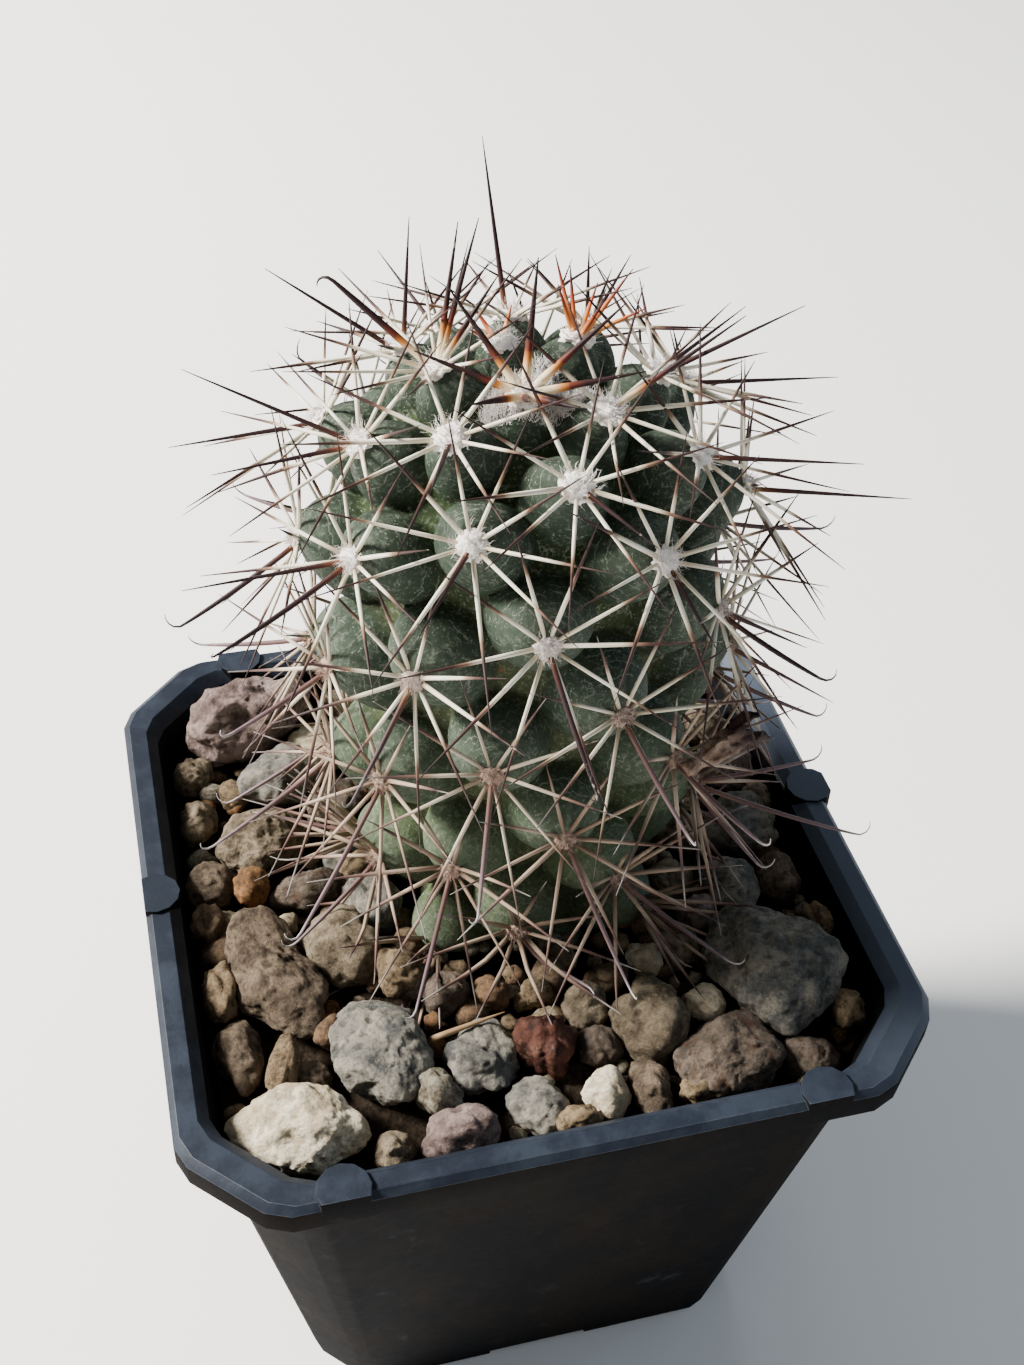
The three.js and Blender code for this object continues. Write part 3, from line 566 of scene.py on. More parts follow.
def aboveFloor(point, root):
    # keeps a drooping spine above the grit and the rim
    reach = max(abs(point.x), abs(point.y))
    share = clamp((reach - spines["rimFrom"]) / spines["rimOver"])
    floor = rimHeight + mix(spines["floor"], spines["floorOverRim"], share)
    point.z = max(point.z, min(floor, root.z))
    return point


def centralSpines(areole):
    # around and rise in degrees, length, and whether it ends in a hook
    number = areole["number"]
    if number in chosenCentrals:
        return [(*entry[:3], entry[3] if len(entry) > 3 else "") for entry in chosenCentrals[number]]
    hook = "hooked" if number >= spines["hookedFrom"] else ""
    kinds = [(spines["centralAim"], spines["hookedLength" if hook else "centralLength"], hook)]
    if number < spines["oldestUpright"]:
        kinds.append((spines["uprightAim"], spines["centralLength"], ""))
    found = []
    for i, ((around, rise), length, hook) in enumerate(kinds):
        pick = [chance(number, 3 * i + j + 60) - 0.5 for j in range(3)]
        turn, lean, extra = [share * part for share, part in zip(spines["centralSpread"], pick)]
        found.append((around + turn, rise + lean, length * growth(areole) * (1 + extra), hook))
    return found


def listSpines():
    # every spine as a dictionary: root, direction, length, thickness, bend, kind, age
    found = []
    for areole in spiny():
        tip, outward, up, side = areoleFrame(areole)
        number = areole["number"]
        young = youth(areole)
        old = clamp((number - spines["oldFrom"]) / spines["oldOver"])
        size = grownShare(areole, 0.6)

        def add(around, rise, length, thick, kind, bend=0.0, start=1.0, hook=""):
            flat = up * math.cos(around) + side * math.sin(around)
            along = flat * math.cos(rise) + outward * math.sin(rise)
            root = tip + flat * start * size + outward * 0.1
            aim = outward * 0.7 + up * 0.6 + side * 1.6 * (chance(number, 90) - 0.5)
            if hook == "hooked down":
                aim = Vector((0, 0, -1))
            found.append({
                "root": root, "along": along, "length": length, "thick": thick, "kind": kind, "bend": bend,
                "age": ageOf(areole), "outward": outward, "up": up, "tone": chance(number, len(found)),
                "hook": (aim - along * aim.dot(along)).normalized() if hook else None,
            })

        for i in range(spines["radials"] if number >= spines["radialsFrom"] else 0):
            wobble = chance(number, i) - 0.5
            around = (i + 0.5 + 0.35 * wobble) / spines["radials"] * 2 * math.pi
            length = spines["radialLength"] * growth(areole) * (0.9 + 0.2 * chance(number, i + 20))
            length *= 1 - 0.13 * math.cos(around)  # those that point down are longer
            resting = number >= spines["restingFrom"]
            flat = spines["restingRise"] if resting else mix(*spines["radialRise"], old)
            rise = math.radians(mix(flat, spines["youngRise"], young) + 12 * (chance(number, i + 40) - 0.5))
            thick = spines["radialThick"] * (0.85 + 0.3 * chance(number, i + 30) + 0.25 * old)
            add(around, rise, length, thick, 0, bend=0.03 * wobble + 0.07 * old)
        orange = number in spines["orangeAreoles"]
        nearCrown = clamp((spines["thickBefore"] - number) / spines["thickOver"])
        thick = mix(spines["centralThick"], spines["youngCentralThick"], nearCrown)
        thick = spines["orangeThick"] if orange else thick
        for around, rise, length, hook in centralSpines(areole):
            bend = -0.1 if hook == "hooked" else 0.0
            add(math.radians(around), math.radians(rise), length, thick, 1 if orange else 2, bend, 0.5, hook)
    return found


def spineTemplate(sides, rings):
    # a round rod standing on the origin, one unit tall and in radius, cut into rings
    bm = bmesh.new()
    bmesh.ops.create_cone(bm, cap_ends=True, segments=sides, radius1=1, radius2=1, depth=1)
    bmesh.ops.translate(bm, vec=(0, 0, 0.5), verts=bm.verts)
    uprights = [edge for edge in bm.edges if abs(edge.verts[0].co.z - edge.verts[1].co.z) > 0.5]
    bmesh.ops.subdivide_edges(bm, edges=uprights, cuts=rings, use_grid_fill=True)
    for vert in bm.verts:
        vert.co.z = 1 - max(0, 1 - vert.co.z) ** 2  # rings lie closer towards the tip
    return meshOf("spine_template", bm)


def repeatTemplate(name, template, count):
    bm = bmesh.new()
    for _ in range(count):
        bm.from_mesh(template)
    return meshOf(name, bm)


def spinePath(spine, share):
    # point and direction of a spine at a share of its length
    reach = spine["length"] * share
    sag = Vector((0, 0, -spine["bend"] * spine["length"] * share * share))
    hookFrom = spine["length"] - spines["hookLength"]
    if spine["hook"] and reach > hookFrom:
        hookRadius = spines["hookLength"] / spines["hookTurn"]
        turned = (reach - hookFrom) / hookRadius
        reach = hookFrom + hookRadius * math.sin(turned)
        sag += spine["hook"] * hookRadius * (1 - math.cos(turned))
    point = spine["root"] + spine["along"] * reach + sag
    if "curl" in spine:
        turn = spine["phase"] + wool["curlTurn"] * share
        aside = spine["across"] * math.sin(turn) + spine["up"] * math.cos(turn)
        return point + aside * spine["curl"] * share
    return aboveFloor(point, spine["root"])


def makeSpines(name, found, shader, replaces, sides=spines["sides"], rings=spines["rings"]):
    template = spineTemplate(sides, rings)
    shape = readPlaces(template)
    mesh = repeatTemplate(name, template, len(found))
    shares = np.unique(np.round(shape[:, 2], 4))
    rowOf = np.searchsorted(shares, np.round(shape[:, 2], 4))
    places = []
    for spine in found:
        path = np.array([spinePath(spine, share) for share in shares])
        tangent = np.gradient(path, axis=0)
        tangent /= np.linalg.norm(tangent, axis=1, keepdims=True)
        across = np.cross(tangent, np.array(spine["up"]) + 0.3 * np.array(spine["outward"]) + 1e-4)
        across /= np.linalg.norm(across, axis=1, keepdims=True)
        other = np.cross(tangent, across)
        power = spines["hookedTaper"] if spine["hook"] else spines["taper"][spine["kind"]]
        taper = spine["thick"] / 2 * (1 - spines["thinning"] * shares ** power)
        ring = across[rowOf] * shape[:, :1] + other[rowOf] * shape[:, 1:2]
        places.append(path[rowOf] + ring * taper[rowOf][:, None])
    setPlaces(mesh, np.concatenate(places))
    setValues(mesh, "along", np.tile(shape[:, 2], len(found)))
    for key in ("age", "tone"):
        setValues(mesh, key, np.repeat([spine[key] for spine in found], len(shape)))
    return putMesh(name, mesh, shader, replaces)


def radialShader():
    s = Shader("radial_spines", "plant_skin")
    along = s.attribute("along")
    age = s.attribute("age")
    tone = s.attribute("tone")
    shifted = along + (tone - 0.5) * 0.26
    fresh = s.ramp(shifted, [
        (0.0, (0.66, 0.58, 0.42)), (0.25, (0.8, 0.77, 0.65)), (0.43, (0.62, 0.55, 0.42)),
        (0.5, (0.2, 0.12, 0.08)), (0.6, (0.045, 0.022, 0.02)), (1.0, (0.018, 0.011, 0.011)),
    ])
    worn = s.ramp(shifted, [
        (0.0, (0.22, 0.15, 0.105)), (0.4, (0.36, 0.275, 0.205)), (0.62, (0.17, 0.1, 0.08)),
        (0.8, (0.06, 0.036, 0.034)), (1.0, (0.3, 0.27, 0.25)),
    ])
    s.colour = s.blend(s.step(age, 0.4, 0.75), fresh, worn)
    peeled = s.step(s.grain(1.4, 3), 0.62, 0.67) * s.step(along, 0.75, 0.9)
    s.cover(peeled * 0.4, (0.45, 0.42, 0.38))
    return s.finish(0.5, specular=0.15)


def centralShader():
    s = Shader("central_spines", "plant_skin")
    along = s.attribute("along")
    age = s.attribute("age")
    tone = s.attribute("tone")
    shifted = along + (tone - 0.5) * 0.1
    young = s.ramp(shifted, [
        (0.0, (0.85, 0.76, 0.56)), (0.17, (0.76, 0.6, 0.36)), (0.25, (0.52, 0.2, 0.045)),
        (0.32, (0.12, 0.028, 0.017)), (0.45, (0.028, 0.012, 0.012)), (1.0, (0.012, 0.008, 0.008)),
    ])
    fresh = s.ramp(shifted, [
        (0.0, (0.4, 0.25, 0.14)), (0.05, (0.17, 0.066, 0.034)), (0.13, (0.058, 0.023, 0.019)),
        (0.3, (0.026, 0.013, 0.014)), (1.0, (0.011, 0.007, 0.008)),
    ])
    worn = s.ramp(along, [
        (0.0, (0.13, 0.07, 0.055)), (0.4, (0.1, 0.058, 0.058)), (0.8, (0.17, 0.12, 0.13)),
        (0.92, (0.45, 0.41, 0.41)), (1.0, (0.65, 0.62, 0.6)),
    ])
    s.colour = s.blend(s.step(age, 0.1, 0.075), s.blend(s.step(age, 0.4, 0.62), fresh, worn), young)
    peeled = s.step(s.grain(1.1, 3), 0.61, 0.66) * s.step(along, 0.5, 0.85)
    s.cover(peeled * 0.45, (0.34, 0.3, 0.28))
    return s.finish(0.45, specular=0.15)


def youngShader():
    s = Shader("young_spines", "plant_skin")
    along = s.attribute("along")
    tone = s.attribute("tone")
    s.colour = s.ramp(along + (tone - 0.5) * 0.3, [
        (0.0, (0.84, 0.66, 0.38)), (0.16, (0.78, 0.38, 0.11)), (0.42, (0.6, 0.19, 0.045)),
        (0.7, (0.34, 0.06, 0.026)), (0.88, (0.12, 0.028, 0.02)), (1.0, (0.02, 0.01, 0.01)),
    ])
    return s.finish(0.4, specular=0.2)


allSpines = listSpines()
makeSpines("radial_spines", [s for s in allSpines if s["kind"] == 0], radialShader(), ["cactus"])
makeSpines("young_spines", [s for s in allSpines if s["kind"] == 1], youngShader(), ["cactus"], 8)
makeSpines("central_spines", [s for s in allSpines if s["kind"] == 2], centralShader(), ["cactus"], 8,
           spines["centralRings"])
print("spines done:", len(allSpines))


# Wool on the areoles

wool = {
    "padRadius": 1.65,
    "padHeight": 0.85,
    "padRoughness": 0.3,
    "hairs": 95,
    "hairLength": 1.35,
    "hairThick": 0.052,
    "rootDepth": 0.85,  # where hairs start, as a share of the pad
    "shrinkFrom": 9,  # areoles from this one down lose their wool
    "shrinkOver": 15,
    "shrinkShare": 0.42,
    "curl": 0.34,
    "curlTurn": 5,  # radians
    "hairSides": 3,
    "hairRings": 3,
}


crown = {
    "hairs": 2600,
    "middle": (0.2, -4.4),
    "spread": (4.8, 3.0),
    "areole": 2,  # its hairs are like those of this areole
    "lift": 0.4,
}


def woolShader():
    s = Shader("areole_wool", "plant_skin")
    age = s.attribute("age")
    fine = s.grain(0.22, 4)
    fresh = s.blend(fine, (0.92, 0.85, 0.81), (1.0, 0.97, 0.94))
    worn = s.blend(fine, (0.17, 0.095, 0.062), (0.56, 0.42, 0.34))
    s.colour = s.blend(s.step(age, 0.25, 0.6), fresh, worn)
    return s.finish(0.95, s.bump(fine, 0.2, 0.8), 0.1)


def woolSize(areole):
    lost = wool["shrinkShare"] * clamp((areole["number"] - wool["shrinkFrom"]) / wool["shrinkOver"])
    return grownShare(areole, 0.8) * (1 - lost)


def curlyHair(areole, i):
    tip, outward, up, side = areoleFrame(areole)
    number = areole["number"]
    size = woolSize(areole)
    around = 2 * math.pi * chance(number, i + 700)
    rise = math.radians(4 + 80 * chance(number, i + 800))
    flat = up * math.cos(around) + side * math.sin(around)
    across = side * math.cos(around) - up * math.sin(around)
    onPad = flat * math.cos(rise) * wool["padRadius"] + outward * math.sin(rise) * wool["padHeight"]
    lean = 0.9 * (chance(i, number + 40) - 0.5)
    along = flat * math.cos(rise) + outward * (math.sin(rise) + 0.25) + across * lean
    return {
        "root": tip + onPad * wool["rootDepth"] * size, "along": along.normalized(),
        "length": wool["hairLength"] * (0.45 + 0.8 * chance(i, number)) * size, "thick": wool["hairThick"],
        "kind": 3, "bend": 0.0, "hook": None, "age": ageOf(areole), "tone": chance(i, 5),
        "outward": outward, "up": up, "across": across, "curl": wool["curl"] * size,
        "phase": 6.28 * chance(i, 77),
    }


def makeWool():
    bm = bmesh.new()
    bmesh.ops.create_icosphere(bm, subdivisions=4, radius=1)
    template = meshOf("pad_template", bm)
    shape = readPlaces(template)
    chosen = spiny()
    mesh = repeatTemplate("areole_wool", template, len(chosen))
    places = []
    for areole in chosen:
        tip, outward, up, side = areoleFrame(areole)
        size = woolSize(areole)
        rough = np.array([noise.fractal(Vector(p) * 3.2 + tip, 0.8, 2.2, 4) for p in shape])
        lump = shape * (1 + wool["padRoughness"] * rough)[:, None]
        across = lump[:, :1] * np.array(up) + lump[:, 1:2] * np.array(side)
        places.append(np.array(tip) + across * wool["padRadius"] * size
                      + lump[:, 2:] * np.array(outward) * wool["padHeight"] * size)
    setPlaces(mesh, np.concatenate(places))
    setValues(mesh, "age", np.repeat([ageOf(areole) for areole in chosen], len(shape)))
    shader = woolShader()
    putMesh("areole_wool", mesh, shader, ["cactus"])
    hairs = [curlyHair(areole, i) for areole in chosen for i in range(wool["hairs"])]
    makeSpines("areole_hairs", hairs, shader, ["cactus"], wool["hairSides"], wool["hairRings"])


def makeCrownWool():
    # the white wool that spreads from the youngest areoles towards the front
    top = onAxis(0, stem["top"], 0)
    hairs = []
    for i in range(crown["hairs"]):
        hair = curlyHair(areoles[crown["areole"]], i)
        turn = 6.28 * chance(i, 51)
        reach = math.sqrt(chance(i, 52))
        x = crown["middle"][0] + crown["spread"][0] * reach * math.cos(turn) - top[0]
        y = crown["middle"][1] + crown["spread"][1] * reach * math.sin(turn) - top[1]
        hair["root"] = Vector(skinPoint([math.hypot(x, y)], [math.atan2(y, x)])[0][0])
        hair["along"] = (hair["along"] + hair["outward"] * crown["lift"]).normalized()
        hairs.append(hair)
    makeSpines("crown_wool", hairs, woolShader(), ["cactus"], wool["hairSides"], wool["hairRings"])


makeWool()
makeCrownWool()
print("wool done")


# Stones: each top stone is a finer copy of its solid

stoneLooks = {
    "cream": ((0.5, 0.4, 0.26), (0.84, 0.76, 0.58), (0.24, 0.19, 0.13)),
    "grey": ((0.082, 0.086, 0.083), (0.3, 0.275, 0.225), (0.035, 0.034, 0.032)),
    "tan": ((0.086, 0.067, 0.045), (0.27, 0.22, 0.152), (0.038, 0.028, 0.019)),
    "brown": ((0.055, 0.041, 0.03), (0.185, 0.142, 0.1), (0.022, 0.016, 0.012)),
    "rust": ((0.06, 0.051, 0.042), (0.185, 0.148, 0.115), (0.062, 0.024, 0.012)),
    "pink": ((0.125, 0.088, 0.08), (0.33, 0.25, 0.225), (0.055, 0.038, 0.034)),
}
stones = {
    "broad": 0.2,  # depth of the broad dents against a stone's size
    "broadWaves": 1.7,
    "facets": 2.4,
    "dents": 0.05,
    "fine": 0.14,  # millimetres
    "pitSize": 1.3,  # millimetres between pits
    "pitReach": 0.36,
    "pitDepth": 0.32,
    "fineFrom": 6.6,  # stones whose half diagonal is longer than this get finer faces
}


def stoneShader(kind):
    s = Shader(kind + "_stone", kind + "_stone")
    dark, pale, deep = stoneLooks[kind]
    hollow = s.attribute("hollow")
    cloud = s.grain(3.4, 6, 0.66)
    fine = s.grain(0.3, 6, 0.8)
    grains = s.grain(0.7, 4, 0.75)
    s.colour = s.blend(s.step(cloud * 0.7 + grains * 0.3, 0.38, 0.6), dark, pale)
    s.cover(s.step(fine, 0.5, 0.34) * 0.6, deep)
    # pits and creases darker: painted shade, and on the rust stone the rust in its pits
    s.cover(s.step(hollow + fine * 0.25, 0.3, 0.9) * 0.6, deep)
    specks = s.step(s.dots(0.5), 0.15, 0.06) * s.step(s.grain(0.8, 2), 0.5, 0.6)
    s.cover(specks * 0.4, (0.5, 0.46, 0.38))
    stain = s.step(s.grain(4.2, 4), 0.5, 0.64)
    s.cover(stain * 0.4, dark)
    normal = s.bump(grains, 0.4, 0.7, s.bump(fine, 0.28, 1.0))
    return s.finish(0.95, normal, 0.08)


def middleOf(bm):
    return sum((vert.co for vert in bm.verts), Vector()) / len(bm.verts)


def roughen(bm, seed, size):
    # dents and pits a closed lump in place
    hollow = bm.verts.layers.float.new("hollow")
    middle = middleOf(bm)
    shift = Vector((seed * 7.3, seed * 3.1, seed * 1.7))
    for vert in bm.verts:
        away = vert.co - middle
        broad = noise.fractal(away * (stones["broadWaves"] / size) + shift, 0.9, 2.1, 3)
        grain = noise.fractal(away * 1.1 + shift, 0.7, 2.2, 4)
        lumps = noise.voronoi(away * (stones["facets"] / size) + shift)[0]
        crease = clamp(1 - (lumps[1] - lumps[0]) * 3)
        pit = clamp(1 - noise.voronoi(away / stones["pitSize"] + shift)[0][0] / stones["pitReach"])
        pit *= clamp(noise.noise(away * 0.5 - shift) * 3 + 0.6)
        lift = (stones["broad"] * broad - stones["dents"] * crease) * size * 0.5
        lift += stones["fine"] * grain - stones["pitDepth"] * pit
        vert.co = middle + away + away.normalized() * lift
        # how low the surface lies here, used for the painted shade and the rust in pits and creases
        vert[hollow] = clamp(pit + 0.3 * crease - 0.9 * grain)


def copyNode(name):
    # a node's faces in millimetres, with its corners merged
    bm = bmesh.new()
    bm.from_mesh(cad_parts[name].data)
    bmesh.ops.remove_doubles(bm, verts=bm.verts, dist=1e-6)
    bmesh.ops.scale(bm, vec=(1 / mm,) * 3, verts=bm.verts)
    return bm


def boxSize(name):
    low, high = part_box(name)
    return (Vector(high) - Vector(low)).length / mm


def subdivideRound(bm, times):
    bmesh.ops.subdivide_edges(bm, edges=bm.edges, cuts=1, smooth=0.45, use_grid_fill=True)
    for _ in range(times):
        bmesh.ops.subdivide_edges(bm, edges=bm.edges, cuts=1, smooth=0.25, use_grid_fill=True)


def makeStone(name, shader, seed):
    bm = copyNode(name)
    size = boxSize(name) * 0.5
    subdivideRound(bm, 3 if size > stones["fineFrom"] else 2)
    roughen(bm, seed, size)
    return put(name + "_rough", bm, shader, [name])


stoneShaders = {kind: stoneShader(kind) for kind in stoneLooks}
stoneNames = sorted(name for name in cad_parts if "_stone_" in name)
for name in stoneNames:
    makeStone(name, stoneShaders[name.split("_")[0]], int(name.split("_")[2]))
print("stones done:", len(stoneNames))


# Grit: the bed with a rougher top, and the small stones that lie between the large ones

pebbles = {
    "pitch": 2.7,
    "smallest": 1.3,
    "largest": 3.4,
    "reach": 30.0,  # half width of the square they lie in
    "cornerReach": 53.0,
    "stemRoom": 11.0,  # none lies closer to the stem's middle
    "wall": 30.6,  # half width of the pot's inside at that height
    "surface": 50.7,  # the bed's height above the pot's underside
    "cuts": 2,  # cuts of the cube each one is made from
    "mediumCuts": 12,
    "bedRoughness": 0.35,
    "bedFrom": 48.7,  # height where the bed's top begins
}

# stones of middle size seen in the photograph: x, y, top, width, length, height, turn, tone
mediumStones = [
    (-11.3, -24.3, 55.6, 4.0, 4.8, 4.2, 20, 0.22),
    (-24.6, -18.6, 55.2, 2.6, 7.0, 3.6, -18, 0.5),
    (-19.6, -14.8, 54.4, 3.4, 3.6, 3.2, 10, 0.75),
    (-29.2, -8.6, 55.0, 3.2, 6.4, 4.0, 0, 0.45),
    (-29.4, 0.2, 54.8, 3.2, 4.2, 3.4, 0, 0.6),
    (-24.6, 3.8, 55.0, 3.8, 4.0, 3.6, 0, 0.97),
    (-26.2, 25.8, 55.0, 4.4, 4.2, 3.6, 0, 0.1),
    (-12.2, -9.8, 55.2, 4.4, 5.2, 3.4, 15, 0.45),
    (-4.0, -13.6, 54.0, 3.4, 3.2, 3.0, 0, 0.8),
    (0.4, -14.6, 53.8, 3.2, 2.8, 2.6, 0, 0.4),
    (7.6, -14.4, 53.8, 3.6, 3.0, 2.6, 0, 0.6),
    (12.4, -28.6, 54.6, 5.2, 2.6, 3.2, 4, 0.42),
    (0.4, -29.4, 54.6, 4.0, 2.4, 3.2, 0, 0.42),
    (28.5, -23.6, 55.0, 3.0, 3.6, 3.4, 0, 0.42),
    (29.6, -13.0, 55.4, 2.6, 3.8, 3.6, 0, 0.5),
    (29.6, 4.6, 55.0, 3.0, 3.8, 3.4, 0, 0.3),
    (20.6, -20.6, 54.6, 3.4, 3.0, 3.0, 0, 0.6),
    (-13.6, 4.8, 54.0, 4.0, 4.2, 3.4, 0, 0.5),
]


def pebbleShader():
    s = Shader("small_stones", "grit")
    tone = s.attribute("tone")
    cloud = s.grain(1.6, 5, 0.65)
    fine = s.grain(0.35, 5, 0.75)
    pale = s.ramp(tone, [
        (0.0, (0.4, 0.32, 0.2)), (0.2, (0.19, 0.18, 0.14)), (0.4, (0.21, 0.155, 0.09)),
        (0.6, (0.13, 0.09, 0.056)), (0.8, (0.15, 0.088, 0.048)), (1.0, (0.21, 0.1, 0.036)),
    ])
    s.colour = s.blend(s.step(cloud * 0.5 + fine * 0.5, 0.62, 0.36), pale, (0.034, 0.022, 0.012))
    normal = s.bump(fine, 0.14, 0.9)
    return s.finish(0.93, normal, 0.2)


def bedShader():
    s = Shader("grit_bed", "grit")
    fine = s.grain(0.7, 6, 0.7)
    # near black: painted shade for the deep gaps between the stones
    s.colour = s.blend(s.step(fine, 0.35, 0.65), (0.007, 0.005, 0.0035), (0.03, 0.021, 0.013))
    return s.finish(0.97, s.bump(fine, 0.4, 1.0), 0.1)


def makeBed():
    bm = copyNode("grit_bed")
    top = [edge for edge in bm.edges if all(vert.co.z > pebbles["bedFrom"] - 1 for vert in edge.verts)]
    bmesh.ops.subdivide_edges(bm, edges=top, cuts=2, use_grid_fill=True)
    for vert in bm.verts:
        if vert.co.z > pebbles["bedFrom"]:
            vert.co.z += pebbles["bedRoughness"] * noise.fractal(vert.co * 0.9, 0.9, 2.1, 4)
    return put("grit_bed_rough", bm, bedShader(), ["grit_bed"])


def solidNear(x, y, boxes, margin):
    # whether a place is within the oval of one of the large stones
    for low, high in boxes:
        middle = (low + high) / 2
        half = (high - low) / 2
        across = (x - middle.x) / (half.x + margin)
        down = (y - middle.y) / (half.y + margin)
        if across * across + down * down < 1:
            return True
    return False


def placePebbles():
    boxes = [[Vector(corner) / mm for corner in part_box(name)] for name in stoneNames + ["fallen_fruit"]]
    steps = int(pebbles["reach"] / pebbles["pitch"])
    found = []
    for row in range(-steps, steps + 1):
        for column in range(-steps, steps + 1):
            seed = row * 101 + column + 5000
            x = (column + 0.9 * (chance(seed, 1) - 0.5)) * pebbles["pitch"]
            y = (row + 0.9 * (chance(seed, 2) - 0.5)) * pebbles["pitch"]
            size = mix(pebbles["smallest"], pebbles["largest"], chance(seed, 3) ** 1.6)
            room = pebbles["wall"] - 0.6 * size
            x = clamp(x, -room, room)
            y = clamp(y, -room, room)
            if abs(x) + abs(y) > pebbles["cornerReach"] or solidNear(x, y, boxes, 0.1 * size):
                continue
            if math.hypot(x - stem["footAt"][0], y - stem["footAt"][1]) < pebbles["stemRoom"]:
                continue
            top = pebbles["surface"] + size * 0.62 + 0.8 * chance(seed, 4)
            length = size * (0.7 + 0.5 * chance(seed, 5))
            found.append((x, y, top, size, length, size * 0.8, 180 * chance(seed, 6), chance(seed, 7)))
    return found


def lumpTemplate(cuts):
    # a ball made from a cut cube
    bm = bmesh.new()
    bmesh.ops.create_cube(bm, size=1)
    bmesh.ops.subdivide_edges(bm, edges=bm.edges, cuts=cuts, use_grid_fill=True)
    for vert in bm.verts:
        vert.co = vert.co.normalized() * 0.5
    return meshOf("lump_template", bm)


def makeLumps(name, found, shader, cuts, replaces, roughness):
    template = lumpTemplate(cuts)
    shape = readPlaces(template)
    mesh = repeatTemplate(name, template, len(found))
    places = []
    tones = []
    for number, (x, y, top, width, length, height, turn, tone) in enumerate(found):
        shift = Vector((number * 3.7, number * 1.9, number * 5.3))
        dents = np.array([noise.fractal(Vector(p) * 2.4 + shift, 0.9, 2.2, 4) for p in shape])
        lump = shape * (1 + roughness * dents)[:, None] * np.array((width, length, height))
        turned = math.radians(turn)
        across = lump[:, 0] * math.cos(turned) - lump[:, 1] * math.sin(turned)
        along = lump[:, 0] * math.sin(turned) + lump[:, 1] * math.cos(turned)
        places.append(np.stack([across + x, along + y, lump[:, 2] + top - height / 2], axis=1))
        tones.append(tone)
    setPlaces(mesh, np.concatenate(places))
    setValues(mesh, "tone", np.repeat(tones, len(shape)))
    return putMesh(name, mesh, shader, replaces)


makeBed()
smallStones = placePebbles()
gritShader = pebbleShader()
makeLumps("small_stones", smallStones, gritShader, pebbles["cuts"], ["grit_bed"], 0.4)
makeLumps("medium_stones", mediumStones, gritShader, pebbles["mediumCuts"], ["grit_bed"], 0.3)
print("grit done:", len(smallStones), "small stones")


# The pot

pot = {
    "edge": 0.3,  # how far its edges are rounded
    "rimFrom": 53.4,  # height where the rim's painted sky reflection begins
    "rimHalf": 35.0,
    "cornerCut": 61.0,  # the cut corners' reach, x and y added
    "wornWidth": 0.6,  # how far in from the rim's outer edge it is pale, from wear and a painted highlight
    "wornFrom": 54.4,
    "sharp": 30.0,  # degrees between faces that meet in an edge
    "roundedSharp": 32.0,
    "flat": 1.5,
    "inset": 0.12,  # a narrow band that keeps the flat faces flat beside the rounded edges
}


def scuffed(s):
    # the pot's scuffs, its dust and the bumps that both make
    scuffs = s.grain(1.2, 6, 0.75)
    dust = s.grain(0.25, 4, 0.7)
    return scuffs, dust, s.bump(dust, 0.03, 0.6, s.bump(scuffs, 0.1, 0.45))


def bodyShader():
    s = Shader("pot_plastic", "pot_plastic")
    scuffs, dust, normal = scuffed(s)
    s.colour = s.blend(s.step(s.grain(11, 3), 0.42, 0.62), (0.0052, 0.0055, 0.0064), (0.008, 0.007, 0.0063))
    soiled = s.step(s.grain(6, 6, 0.7), 0.52, 0.72)
    s.cover(soiled * 0.5, (0.0138, 0.0116, 0.01))
    smudged = s.step(s.grain(4, 5, 0.65), 0.58, 0.74) * s.step(s.grain(15, 2), 0.48, 0.6)
    s.cover(smudged * 0.5, (0.036, 0.037, 0.042))
    s.cover(s.step(dust, 0.64, 0.75) * 0.3, (0.06, 0.054, 0.048))
    return s.finish(0.6 + 0.2 * scuffs, normal, 0.016)


def rimShader():
    # the bluish colour of the rim's upward faces is a painted reflection of the sky
    s = Shader("rim_plastic", "pot_plastic")
    worn = s.attribute("worn")
    scuffs, dust, normal = scuffed(s)
    across = s.node("ShaderNodeSeparateXYZ", None, {0: s.place()}, output="X")
    paintedSkyRight = s.blend(s.grain(9, 3), (0.048, 0.064, 0.092), (0.068, 0.086, 0.118))
    paintedSkyLeft = s.blend(s.step(s.grain(5, 5, 0.65), 0.4, 0.65), (0.0085, 0.0125, 0.021), (0.019, 0.026, 0.039))
    # paler towards the right: painted light where the plant shades the rim
    s.colour = s.blend(s.step(across, 0.022, 0.036), paintedSkyLeft, paintedSkyRight)
    # a pale line along the rim's outer top edge: wear, and a painted highlight
    wornHighlight = s.step(worn * (scuffs + 0.35), 0.6, 0.9)
    s.cover(wornHighlight * 0.6, (0.11, 0.13, 0.16))
    s.cover(s.step(dust, 0.64, 0.75) * 0.25, (0.07, 0.068, 0.068))
    return s.finish(0.45 + 0.2 * scuffs, normal, 0.16)


